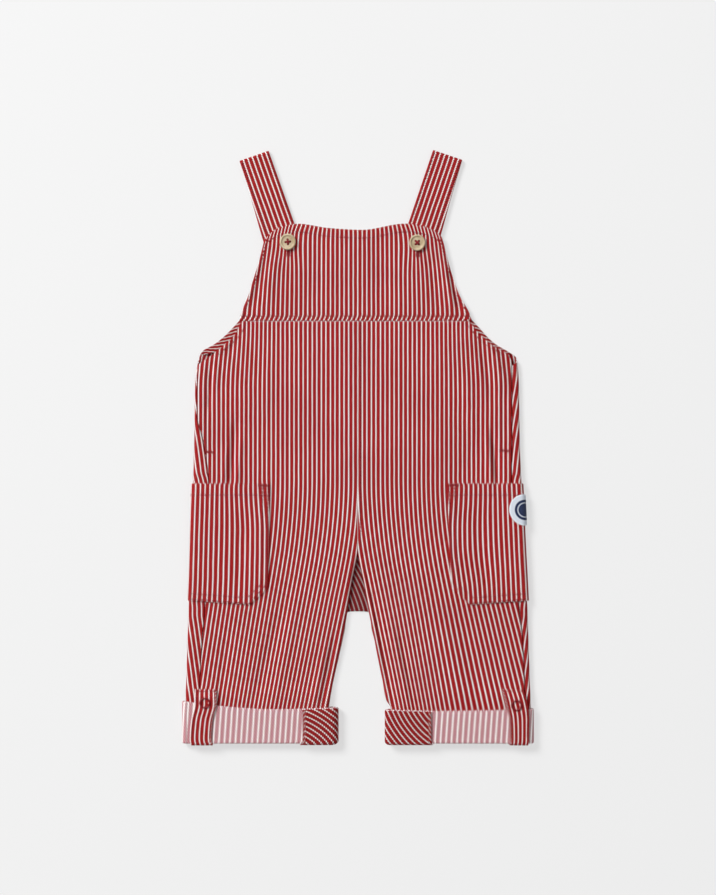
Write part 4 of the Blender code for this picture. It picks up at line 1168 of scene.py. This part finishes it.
def make_inseam_facing(side):
    ends = CUFF_ENDS[side]
    edge = (FACING_EDGE[side] - ends.outer) / (ends.inner - ends.outer)
    flat = abs(ends.inner - FACING_EDGE[side])
    across = marks(30.0, 1.2)[:-1]
    across = np.sort(np.append(across, [ROPE_WIDTH / flat, (ROPE_WIDTH + 0.06) / flat]))
    places = list(blend(edge, 1.0, across))
    places += list(np.linspace(1.0, 1.0 + FACING_TURN[side] / 6, 12))
    stages = list(0.02 + 0.98 * marks(33.0, 1.4)[:-3]) + list(np.linspace(1.0, 1.45, 6))
    grid = np.array([[cuff_point(side, place, stage, LAYER) for place in places] for stage in stages])
    along, down = lengths(grid)
    centre = FACING_CENTRE[side]
    distance = np.hypot(along - centre.along, down - centre.down)
    turned = np.arctan2(down - centre.down, along - centre.along) * distance
    rope = along < ROPE_WIDTH + 0.03
    cut = np.where(rope, down * 0.95 + along * 1.3, distance)
    uv = np.stack([cut, np.where(rope, along, turned)], axis=-1)
    # Both skins of the facing get the twill with painted shade.
    return cloth("inseam_facing_" + side, grid, uv, shaded, shaded, still=True)


# %% Roll-up tabs
TAB_ROPE = 0.79             # share of a tab's half width where its turned edge starts
TAB_HALF_CUT = 8.6          # half width of a tab in the cut
TAB_FIRST = 1.0             # first white stripe, from the tab's middle


def make_tab(side):
    top = float(read(FRONT_HEIGHT, "outer", PANEL_HEM))
    radius = LAYER * 1.5
    centre_z = top + LAYER / 2
    turn_y = FOLD_FOOT + LAYER / 2
    u = (marks(17.0, 1.3) * 2.0 - 1.0)
    rope_at = -SIGN[side] * TAB_ROPE
    u = np.sort(np.append(u, [rope_at - 0.004, rope_at + 0.004]))
    rows = []
    for y in np.concatenate([heights(TAB_TOP, -199.0, 1.0), np.linspace(-200.0, turn_y, 26)]):
        lift = LAYER * float(read(TAB_HEIGHT, "share", y))
        x = float(read(TABS[side], "centre", y)) + u * float(read(TABS[side], "half_width", y))
        on_cuff = smooth(-198.6, -200.4, y)
        base = blend(front_height(side, x, y), top + 0 * x, on_cuff)
        rows.append(np.stack([x, y + 0 * x, base + lift], axis=-1))
    foot = float(read(TABS[side], "centre", TAB_FOOT))
    half = float(read(TABS[side], "half_width", TAB_FOOT))
    for angle in np.linspace(0.0, pi, 13)[1:]:
        z = centre_z + radius * cos(angle)
        rows.append(np.stack([foot + u * half, turn_y - radius * sin(angle) + 0 * u, z + 0 * u], axis=-1))
    for y in np.linspace(turn_y, TAB_INSIDE, 8)[1:]:
        rows.append(np.stack([foot + u * half, y + 0 * u, centre_z - radius + 0 * u], axis=-1))
    grid = np.array(rows)
    _, down = lengths(grid)
    place = u[None, :] + 0 * down
    rope = -SIGN[side] * place > TAB_ROPE
    strands = down * 1.35 - SIGN[side] * place * 12.0
    cut = np.where(rope, strands, place * TAB_HALF_CUT + TAB_FIRST)
    uv = np.stack([cut, down], axis=-1)
    return cloth("tab_" + side, grid, uv, face, face, still=True)


for side in SIGN:
    panels["cuff_" + side] = make_cuff(side)
    panels["inseam_facing_" + side] = make_inseam_facing(side)
    panels["tab_" + side] = make_tab(side)
print("pieces so far:", len(panels))

# %% [markdown]
# ## The round patch
#
# A small woven badge is sewn on the right pocket where it goes round the side.  It is plain: a
# pale ring with a stitched rim round a dark blue middle.  A grid of a disc, squeezed from a
# square, has no pole in its middle.

# %% Patch
def patch_material():
    shader = Shader("woven badge", roughness=0.8, sheen=0.1)
    across, along = shader.cut()
    radius = (across * across + along * along).root()
    grain = shader.noise(shader.vector(across * 3.0, along * 3.0), 1.0, 2.0)
    thread = ((along + across * 0.1) / 0.5).fract()
    pale = shader.mix((0.56, 0.61, 0.70, 1.0), (0.70, 0.74, 0.80, 1.0), grain.between(0.4, 0.6))
    navy = shader.mix((0.012, 0.02, 0.06, 1.0), (0.03, 0.045, 0.11, 1.0), grain.between(0.4, 0.65))
    colour = shader.mix(navy, pale, radius.between(8.0, 8.4))
    ring = radius.between(5.2, 5.5) * (1.0 - radius.between(5.9, 6.2))
    colour = shader.mix(colour, pale, ring)
    rim = radius.between(11.4, 11.7)
    colour = shader.mix(colour, (0.74, 0.78, 0.84, 1.0), rim)
    return shader.finish(colour, thread * 0.4 + grain * 0.4 + rim, distance=0.0002, strength=0.6)


def make_patch():
    mark = np.linspace(-1.0, 1.0, 33)
    u, v = np.meshgrid(mark, mark)
    x_disc = u * np.sqrt(1 - v * v / 2)
    y_disc = v * np.sqrt(1 - u * u / 2)
    y = PATCH_HEIGHT + y_disc * PATCH_RADIUS
    grid, _ = around("right", y, PATCH_AROUND + x_disc * PATCH_RADIUS, 2 * LAYER)
    uv = np.stack([x_disc * PATCH_RADIUS, y_disc * PATCH_RADIUS], axis=-1)
    badge = patch_material()
    return cloth("patch", grid, uv, badge, badge)


panels["patch"] = make_patch()
print("patch points:", len(panels["patch"].data.vertices))

# %% [markdown]
# ## Buttons, snaps and thread
#
# A button is turned: a profile swept round its axis.  Its four holes are cut afterwards.  A snap is
# an open lacquered ring.  Each button is sewn on with two crossed bars of red thread.

# %% Turned parts
BUTTON_RADIUS = 6.5
BUTTON_THICKNESS = 2.4
BUTTON_DISH = 0.66          # depth of the hollow inside the rim
BUTTON_HOLE_OUT = 1.8
BUTTON_HOLE_RADIUS = 1.0


def turned(name, profile, steps, closed):
    """A turned part from (radius, height) pairs; closed joins the last pair to the first."""
    angles = 2 * pi * np.arange(steps) / steps
    profile = np.array(profile)
    rings = profile if closed else profile[1:-1]
    points = [(r * cos(a), r * sin(a), z) for a in angles for r, z in rings]
    count = len(rings)
    faces = []
    for step in range(steps):
        here, there = step * count, (step + 1) % steps * count
        for k in range(count if closed else count - 1):
            after = (k + 1) % count
            faces.append((here + k, there + k, there + after, here + after))
        if not closed:
            faces.append((len(angles) * count, there, here))
            faces.append((here + count - 1, there + count - 1, len(angles) * count + 1))
    if not closed:
        points += [(0.0, 0.0, profile[0][1]), (0.0, 0.0, profile[-1][1])]
    return new_mesh(name, points, faces, (), smooth_angle=40)


def applied(item, name):
    """The object's evaluated mesh as a new plain object; the old object goes."""
    graph = bpy.context.evaluated_depsgraph_get()
    mesh = bpy.data.meshes.new_from_object(item.evaluated_get(graph))
    old = item.data
    bpy.data.objects.remove(item, do_unlink=True)
    if old.users == 0 and isinstance(old, bpy.types.Mesh):
        bpy.data.meshes.remove(old)
    plain = bpy.data.objects.new(name, mesh)
    mesh.name = name
    bpy.context.scene.collection.objects.link(plain)
    return plain


def shifted(item, offset):
    points = np.empty(len(item.data.vertices) * 3)
    item.data.vertices.foreach_get("co", points)
    points = points.reshape(-1, 3) + np.array(offset) * MM
    item.data.vertices.foreach_set("co", points.ravel())
    item.data.update()
    return item


def arc(centre_r, centre_z, radius, start, end, steps=5):
    angles = np.radians(np.linspace(start, end, steps))
    return [(centre_r + radius * cos(a), centre_z + radius * sin(a)) for a in angles]


print("profile arc points:", len(arc(0, 0, 1, 0, 90)))

# %% Button
def button_material():
    shader = Shader("horn-coloured button", roughness=0.42)
    place = shader.place()
    grain = shader.noise(place, 420.0, 4.0, 0.6)
    cloud = shader.noise(place, 130.0, 3.0, 0.6)
    colour = shader.mix((0.42, 0.32, 0.19, 1.0), (0.60, 0.49, 0.33, 1.0), cloud.between(0.35, 0.65))
    colour = shader.mix(colour, (0.33, 0.24, 0.12, 1.0), grain.between(0.55, 0.75) * 0.5)
    return shader.finish(colour, grain, distance=0.0001, strength=0.5)


def make_button(side):
    button = BUTTONS[side]
    top = BUTTON_THICKNESS
    rim = BUTTON_RADIUS - 0.9
    profile = [(0.0, 0.0), (BUTTON_RADIUS - 1.2, 0.0)]
    profile += arc(BUTTON_RADIUS - 0.7, 0.9, 0.7, -60, 0, 4)
    profile += arc(rim, top - 0.75, 0.9, 0, 160, 9)
    profile += [(rim - 1.15, top - 0.62), (rim - 1.6, top - 0.72)]
    profile += [(2.6, top - 0.72), (0.0, top - BUTTON_DISH)]
    body = turned("button_" + side, profile, 72, closed=False)
    cutters = []
    for number in range(4):
        angle = radians(button.turn + 90 * number)
        bore = [(0.0, -1.0), (BUTTON_HOLE_RADIUS, -1.0), (BUTTON_HOLE_RADIUS, 4.0), (0.0, 4.0)]
        cutter = turned("hole_%d" % number, bore, 20, closed=False)
        shifted(cutter, (BUTTON_HOLE_OUT * cos(angle), BUTTON_HOLE_OUT * sin(angle), 0.0))
        cut = body.modifiers.new("hole", "BOOLEAN")
        cut.operation = "DIFFERENCE"
        cut.object = cutter
        cutters.append(cutter)
    body = applied(body, "button_" + side)
    for cutter in cutters:
        bpy.data.objects.remove(cutter, do_unlink=True)
    base = float(read(BIB_HEIGHT, "middle", button.y)) + WALL / 2 + SEAM
    lift = float(relief(np.array(button.x), np.array(button.y)))
    return shifted(body, (button.x, button.y, base + lift))


horn = button_material()
hardware = {}
for side in SIGN:
    item = make_button(side)
    item.data.materials.clear()
    item.data.materials.append(horn)
    item.data.shade_smooth()
    item.data.set_sharp_from_angle(angle=radians(40))
    hardware["button_" + side] = item
print("button points:", len(hardware["button_left"].data.vertices))

# %% Snaps
SNAP_RADIUS = 4.5
SNAP_BORE = 3.1


def snap_material():
    shader = Shader("lacquered ring", roughness=0.35)
    grain = shader.noise(shader.place(), 900.0, 2.0)
    colour = shader.mix((0.16, 0.004, 0.008, 1.0), (0.25, 0.01, 0.016, 1.0), grain)
    return shader.finish(colour, grain, distance=0.00004, strength=0.3)


def make_snap(side):
    middle = (SNAP_RADIUS + SNAP_BORE) / 2
    half_width = (SNAP_RADIUS - SNAP_BORE) / 2
    angles = np.radians(np.arange(0, 360, 30))
    profile = [(middle + half_width * cos(a), 0.5 + 0.5 * sin(a)) for a in angles]
    ring = turned("snap_" + side, profile, 64, closed=True)
    base = float(read(FRONT_HEIGHT, "outer", PANEL_HEM)) + 2 * LAYER + WALL / 2 + SEAM - 0.2
    return shifted(ring, (SNAPS[side].x, SNAPS[side].y, base))


lacquer = snap_material()
for side in SIGN:
    ring = make_snap(side)
    ring.data.materials.append(lacquer)
    hardware["snap_" + side] = ring
print("hardware:", sorted(hardware))

# %% [markdown]
# ## Stitches
#
# A seam shows as a row of short stitches that sink into the cloth.  They repeat along a path, which
# is Geometry Nodes' own ground: the tree resamples each path by the stitch length, sets one small
# stitch on every point, turns it along the path and realizes the copies.

# %% Thread
def thread_material():
    shader = Shader("red thread", roughness=0.6, sheen=0.2)
    grain = shader.noise(shader.place(), 2500.0, 2.0)
    colour = shader.mix((0.13, 0.002, 0.006, 1.0), (0.30, 0.006, 0.012, 1.0), grain.between(0.35, 0.65))
    return shader.finish(colour, grain, distance=0.00005, strength=0.5)


def stitch_shape(length, thickness):
    """One stitch: a short bar that is fattest in its middle and dips at its ends."""
    rings = ((-0.5, 0.35, -0.6), (-0.3, 0.85, 0.0), (0.0, 1.0, 0.25), (0.3, 0.85, 0.0), (0.5, 0.35, -0.6))
    sides = 6
    points, faces = [], []
    for along, fat, lift in rings:
        for k in range(sides):
            a = 2 * pi * k / sides
            y = cos(a) * fat * thickness / 2
            z = (sin(a) * fat + lift) * thickness / 2
            points.append((along * length, y, z))
    for ring in range(len(rings) - 1):
        for k in range(sides):
            a, b = ring * sides + k, ring * sides + (k + 1) % sides
            faces.append((a, a + sides, b + sides, b))
    faces.append(tuple(range(sides)))
    faces.append(tuple(reversed(range(len(points) - sides, len(points)))))
    return new_mesh("stitch shape", points, faces, (), smooth_angle=60)


def stitch_tree():
    tree = bpy.data.node_groups.new("stitch along paths", "GeometryNodeTree")
    face_in = tree.interface
    face_in.new_socket("Geometry", in_out="OUTPUT", socket_type="NodeSocketGeometry")
    face_in.new_socket("Paths", in_out="INPUT", socket_type="NodeSocketGeometry")
    face_in.new_socket("Stitch", in_out="INPUT", socket_type="NodeSocketObject")
    face_in.new_socket("Spacing", in_out="INPUT", socket_type="NodeSocketFloat")
    face_in.new_socket("Wobble", in_out="INPUT", socket_type="NodeSocketFloat")
    face_in.new_socket("Material", in_out="INPUT", socket_type="NodeSocketMaterial")
    nodes, links = tree.nodes, tree.links
    given = nodes.new("NodeGroupInput")
    result = nodes.new("NodeGroupOutput")
    curve = nodes.new("GeometryNodeMeshToCurve")
    spaced = nodes.new("GeometryNodeResampleCurve")
    spaced.mode = "LENGTH"
    tangent = nodes.new("GeometryNodeInputTangent")
    turn = nodes.new("FunctionNodeAlignRotationToVector")
    turn.axis = "X"
    turn.pivot_axis = "Z"
    copies = nodes.new("GeometryNodeInstanceOnPoints")
    shape = nodes.new("GeometryNodeObjectInfo")
    chance = nodes.new("FunctionNodeRandomValue")
    chance.data_type = "FLOAT_VECTOR"
    chance.inputs["Seed"].default_value = 5
    spin = nodes.new("GeometryNodeRotateInstances")
    low = nodes.new("ShaderNodeCombineXYZ")
    high = nodes.new("ShaderNodeCombineXYZ")
    less = nodes.new("ShaderNodeMath")
    less.operation = "MULTIPLY"
    less.inputs[1].default_value = -1.0
    real = nodes.new("GeometryNodeRealizeInstances")
    paint = nodes.new("GeometryNodeSetMaterial")
    links.new(given.outputs["Paths"], curve.inputs["Mesh"])
    links.new(curve.outputs["Curve"], spaced.inputs["Curve"])
    links.new(given.outputs["Spacing"], spaced.inputs["Length"])
    links.new(spaced.outputs["Curve"], copies.inputs["Points"])
    links.new(tangent.outputs["Tangent"], turn.inputs["Vector"])
    links.new(turn.outputs["Rotation"], copies.inputs["Rotation"])
    links.new(given.outputs["Stitch"], shape.inputs["Object"])
    links.new(shape.outputs["Geometry"], copies.inputs["Instance"])
    links.new(given.outputs["Wobble"], high.inputs["Z"])
    links.new(given.outputs["Wobble"], less.inputs[0])
    links.new(less.outputs["Value"], low.inputs["Z"])
    links.new(low.outputs["Vector"], chance.inputs["Min"])
    links.new(high.outputs["Vector"], chance.inputs["Max"])
    links.new(copies.outputs["Instances"], spin.inputs["Instances"])
    links.new(chance.outputs["Value"], spin.inputs["Rotation"])
    links.new(spin.outputs["Instances"], real.inputs["Geometry"])
    links.new(real.outputs["Geometry"], paint.inputs["Geometry"])
    links.new(given.outputs["Material"], paint.inputs["Material"])
    links.new(paint.outputs["Geometry"], result.inputs["Geometry"])
    return tree


def sewn(name, paths, shape, spacing, wobble, material):
    """Stitches along paths, which are lists of points in millimetres."""
    points, edges = [], []
    for path in paths:
        first = len(points)
        points += [tuple(np.array(p) * MM) for p in path]
        edges += [(first + k, first + k + 1) for k in range(len(path) - 1)]
    mesh = bpy.data.meshes.new(name + " paths")
    mesh.from_pydata(points, edges, [])
    item = bpy.data.objects.new(name + " paths", mesh)
    bpy.context.scene.collection.objects.link(item)
    modifier = item.modifiers.new("stitches", "NODES")
    modifier.node_group = tree_of_stitches
    ids = {s.name: s.identifier for s in tree_of_stitches.interface.items_tree if s.in_out == "INPUT"}
    modifier[ids["Stitch"]] = shape
    modifier[ids["Spacing"]] = spacing * MM
    modifier[ids["Wobble"]] = wobble
    modifier[ids["Material"]] = material
    return applied(item, name)


tree_of_stitches = stitch_tree()
thread = thread_material()
print("stitch tree nodes:", len(tree_of_stitches.nodes))

# %% [markdown]
# ## Where the seams run
#
# Every path is found on the same form as the cloth below it, a little above its skin, so that the
# thread lies on the panel and not in it.

# %% Seam paths
THREAD_HEIGHT = 0.62        # from the middle of a cloth to the middle of a thread on it
WAIST_STITCHES = 105.6
BIB_SIDE_ROW = 2.0          # rows of stitches, from the edge or the seam beside them
CENTRE_ROW = 2.0
ARMHOLE_ROW = 4.6
POCKET_HEM_ROW = -37.6
POCKET_ROWS = (1.3, 5.6)
POCKET_ROW_END = 133.0      # where the pockets' rows end, at the folded side
STRAP_ROW = 1.6
TAB_ROW = 1.5
OPENING_ROWS = {            # stitches beside the side openings: places across at the heights below
    "left": (-121.2, -122.6, -121.4), "right": (114.2, 114.8, 114.6),
}
OPENING_HEIGHTS = (-2.0, 34.0, 64.0)


def on_front(side, x, y, layers=0):
    """Points on top of the front, or of cloth that lies on it."""
    x, y = np.broadcast_arrays(np.asarray(x, dtype=float), np.asarray(y, dtype=float))
    out = layers * LAYER
    run = run_at(side, y, x, out)
    spot, _ = around(side, y, run, out)
    spot[..., 2] += relief(spot[..., 0], spot[..., 1]) + THREAD_HEIGHT
    return spot


def on_bib(x, y):
    x, y = np.broadcast_arrays(np.asarray(x, dtype=float), np.asarray(y, dtype=float))
    z = read(BIB_HEIGHT, "middle", y) + relief(x, y) + THREAD_HEIGHT
    return np.stack([x, y, z], axis=-1)


def bib_paths():
    y = np.full(120, WAIST_STITCHES)
    waist = on_bib(np.linspace(-92.4, 88.6, 120), y)
    u = np.linspace(0.03, 0.97, 110)
    top_y = read(BIB_TOP, "y", u) - HEM_DEPTH
    left = read(BIB_SIDE, "left", top_y)
    right = read(BIB_SIDE, "right", top_y)
    hem = on_bib(blend(left, right, u), top_y)
    sides = []
    for side, sign in SIGN.items():
        y = np.linspace(104.0, 166.0, 60)
        sides.append(on_bib(read(BIB_SIDE, side, y) - sign * BIB_SIDE_ROW, y))
    return [waist, hem] + sides


def body_paths():
    paths = []
    y = np.linspace(100.4, -78.0, 160)
    paths.append(on_front("right", CENTRE_ROW + 0 * y, y))
    for side, sign in SIGN.items():
        y = np.linspace(99.6, 75.0, 40)
        paths.append(on_front(side, read(FRONT_EDGE, side, y) - sign * ARMHOLE_ROW, y))
        y = np.linspace(OPENING_HEIGHTS[-1], OPENING_HEIGHTS[0], 40)
        paths.append(on_front(side, np.interp(y, OPENING_HEIGHTS, OPENING_ROWS[side]), y))
    return paths


def pocket_paths():
    paths = []
    for side, sign in SIGN.items():
        top_x = read(POCKET_INNER, side, POCKET_TOP)
        x = np.linspace(top_x + sign * 1.4, sign * POCKET_ROW_END, 44)
        paths.append(on_front(side, x, np.full(44, POCKET_HEM_ROW), 1))
        for inside in POCKET_ROWS:
            y = np.linspace(POCKET_TOP - 1.2, POCKET_CORNER + 0.15 * inside, 50)
            first = on_front(side, read(POCKET_INNER, side, y) + sign * inside, y, 1)
            corner = np.array([read(POCKET_INNER, side, POCKET_CORNER) + sign * inside, POCKET_CORNER])
            foot_x = read(POCKET_INNER, side, POCKET_FOOT_INNER) + sign * inside * 0.45
            foot_y = POCKET_FOOT_INNER + inside
            share = np.linspace(0.0, 1.0, 16)
            slant = on_front(side, blend(corner[0], foot_x, share), blend(corner[1], foot_y, share), 1)
            x = np.linspace(foot_x, sign * POCKET_ROW_END, 34)
            y = blend(foot_y, POCKET_FOOT_OUTER + inside, np.linspace(0.0, 1.0, 34))
            foot = on_front(side, x, y, 1)
            paths.append(np.concatenate([first, slant[1:], foot[1:]]))
    return paths


def strap_paths():
    paths = []
    for side in SIGN:
        strap = STRAPS[side]
        lean, _, across = strap_frame(strap)
        for edge in (-1.0, 1.0):
            share = np.linspace(0.012, 1.0, 50)[:, None]
            middle = np.array([strap.fold_x, strap.fold_y]) - lean * share
            spot = middle + across * edge * (STRAP_WIDTH / 2 - STRAP_ROW)
            z = np.full((50, 1), STRAP_FRONT_MIDDLE + STRAP_WALL / 2 + 0.02)
            paths.append(np.concatenate([spot, z], axis=1))
    return paths


def tab_height(side, x, y):
    top = float(read(FRONT_HEIGHT, "outer", PANEL_HEM))
    base = blend(front_height(side, x, y), top, smooth(-198.6, -200.4, y))
    return base + LAYER * read(TAB_HEIGHT, "share", y) + THREAD_HEIGHT


def tab_paths():
    paths = []
    for side in SIGN:
        y = np.linspace(TAB_TOP - 1.3, -230.0, 40)
        centre = read(TABS[side], "centre", y)
        half = read(TABS[side], "half_width", y) - TAB_ROW
        for edge in (-1.0, 1.0):
            x = centre + edge * half
            paths.append(np.stack([x, y, tab_height(side, x, y)], axis=-1))
        x = np.linspace(centre[0] - half[0], centre[0] + half[0], 12)
        y = np.full(12, TAB_TOP - 1.6)
        paths.append(np.stack([x, y, tab_height(side, x, y)], axis=-1))
    return paths


seams = {
    "bib": bib_paths(), "body": body_paths(), "pocket": pocket_paths(),
    "strap": strap_paths(), "tab": tab_paths(),
}
print("seam paths:", {name: len(paths) for name, paths in seams.items()})

# %% Bar tacks, buttonholes and the buttons' thread
def zigzag(start, end, width, rows, height):
    """A bar tack: close zigzag from start to end."""
    start, end = np.array(start), np.array(end)
    along = (end - start) / np.linalg.norm(end - start)
    side = np.array([-along[1], along[0]])
    spots = []
    for k in range(rows + 1):
        at = blend(start, end, k / rows) + side * width / 2 * (1 if k % 2 else -1)
        spots.append((at[0], at[1], height(at[0], at[1])))
    return spots


def tack_paths():
    def front(side, layers):
        return lambda x, y: float(on_front(side, x, y, layers)[..., 2])

    def bib(x, y):
        return float(on_bib(x, y)[..., 2])

    paths = [
        zigzag((-121.2, -3.2), (-115.4, -3.4), 1.5, 22, front("left", 0)),
        zigzag((113.6, -1.6), (122.4, -2.6), 1.5, 26, front("right", 0)),
        zigzag((-79.6, -29.8), (-71.6, -30.2), 1.5, 26, front("left", 1)),
        zigzag((72.6, -30.0), (80.6, -29.4), 1.5, 26, front("right", 1)),
    ]
    for side in SIGN:
        button = BUTTONS[side]
        x, y = button.x + 0.4, button.y
        for edge in (-0.75, 0.75):
            paths.append(zigzag((x + edge, y + 5.0), (x + edge, y - 9.6), 0.9, 34, bib))
        paths.append(zigzag((x - 1.2, y - 10.2), (x + 1.2, y - 10.2), 1.4, 8, bib))
    return paths


def thread_bars():
    """Two crossed bars on each button, from hole to hole."""
    paths = []
    for side in SIGN:
        button = BUTTONS[side]
        lift = float(relief(np.array(button.x), np.array(button.y)))
        base = float(read(BIB_HEIGHT, "middle", button.y)) + WALL / 2 + SEAM
        top = base + BUTTON_THICKNESS - BUTTON_DISH + lift
        for number in range(2):
            angle = radians(button.turn + 90 * number)
            for off in (-0.28, 0.28):
                spots = []
                for t in np.linspace(-1.0, 1.0, 9):
                    r = t * (BUTTON_HOLE_OUT + 0.15)
                    x = button.x + r * cos(angle) - off * sin(angle)
                    y = button.y + r * sin(angle) + off * cos(angle)
                    z = top + 0.45 - 0.9 * abs(t)**4 + 0.12 * number
                    spots.append((x, y, z))
                paths.append(spots)
    return paths


long_stitch = stitch_shape(2.4, 1.05)
short_stitch = stitch_shape(1.4, 0.8)
stitching = {
    "stitches_bib": sewn("stitches_bib", seams["bib"], long_stitch, 2.9, 0.05, thread),
    "stitches_body": sewn("stitches_body", seams["body"], long_stitch, 2.9, 0.05, thread),
    "stitches_pockets": sewn("stitches_pockets", seams["pocket"], long_stitch, 2.9, 0.05, thread),
    "stitches_straps": sewn("stitches_straps", seams["strap"], long_stitch, 2.9, 0.05, thread),
    "stitches_tabs": sewn("stitches_tabs", seams["tab"], long_stitch, 2.7, 0.05, thread),
    "bar_tacks": sewn("bar_tacks", tack_paths(), short_stitch, 0.7, 0.0, thread),
    "button_thread": sewn("button_thread", thread_bars(), short_stitch, 0.45, 0.0, thread),
}
for shape in (long_stitch, short_stitch):
    bpy.data.objects.remove(shape, do_unlink=True)
print("stitching faces:", sum(len(item.data.polygons) for item in stitching.values()))

# %% [markdown]
# ## Tying the pieces to the frame
#
# Every piece rides on the frame's one body and stands in for its plain solid.

# %% Ride and replace
Cut = namedtuple("Cut", "width length area rests_on")
CUTS = {                    # millimetres and square centimetres
    "bib_front": Cut(186, 78, 122, ("strap_left", "strap_right")),
    "bib_back": Cut(186, 57, 92, ()),
    "crotch_gusset": Cut(25, 58, 9.3, ()),
    "front": Cut(136, 334, 395, ("back_left", "back_right")),
    "back": Cut(172, 334, 445, ()),
    "armhole_facing": Cut(10, 48, 3.8, ("back_left", "back_right")),
    "strap": Cut(25, 178, 44, ()),
    "pocket": Cut(104, 97, 96, ("front_left", "front_right")),
    "patch": Cut(25, 25, 4.9, ("pocket_right",)),
    "cuff": Cut(260, 40, 84, ()),
    "inseam_facing": Cut(33, 36, 11, ("cuff_left", "cuff_right")),
    "tab": Cut(18, 64, 11.4, ("cuff_left", "cuff_right")),
}
SQUARE_CM = 1e-4


def kind_of(name):
    return name if name in CUTS else name.rsplit("_", 1)[0]


for name, item in panels.items():
    kind = kind_of(name)
    cut = CUTS[kind]
    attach(item, "root")
    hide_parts(name)
    both_sides = kind in ("bib_front", "patch")
    own_side = name.rsplit("_", 1)[-1]
    resting = [other for other in cut.rests_on if both_sides or other.endswith("_" + own_side)]
    flat = (cut.width * MM, cut.length * MM)
    cut.area * SQUARE_CM
for name, item in hardware.items():
    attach(item, "root")
    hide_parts(name)
for item in stitching.values():
    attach(item, "root")
print("pieces:", len(panels) + len(hardware) + len(stitching))
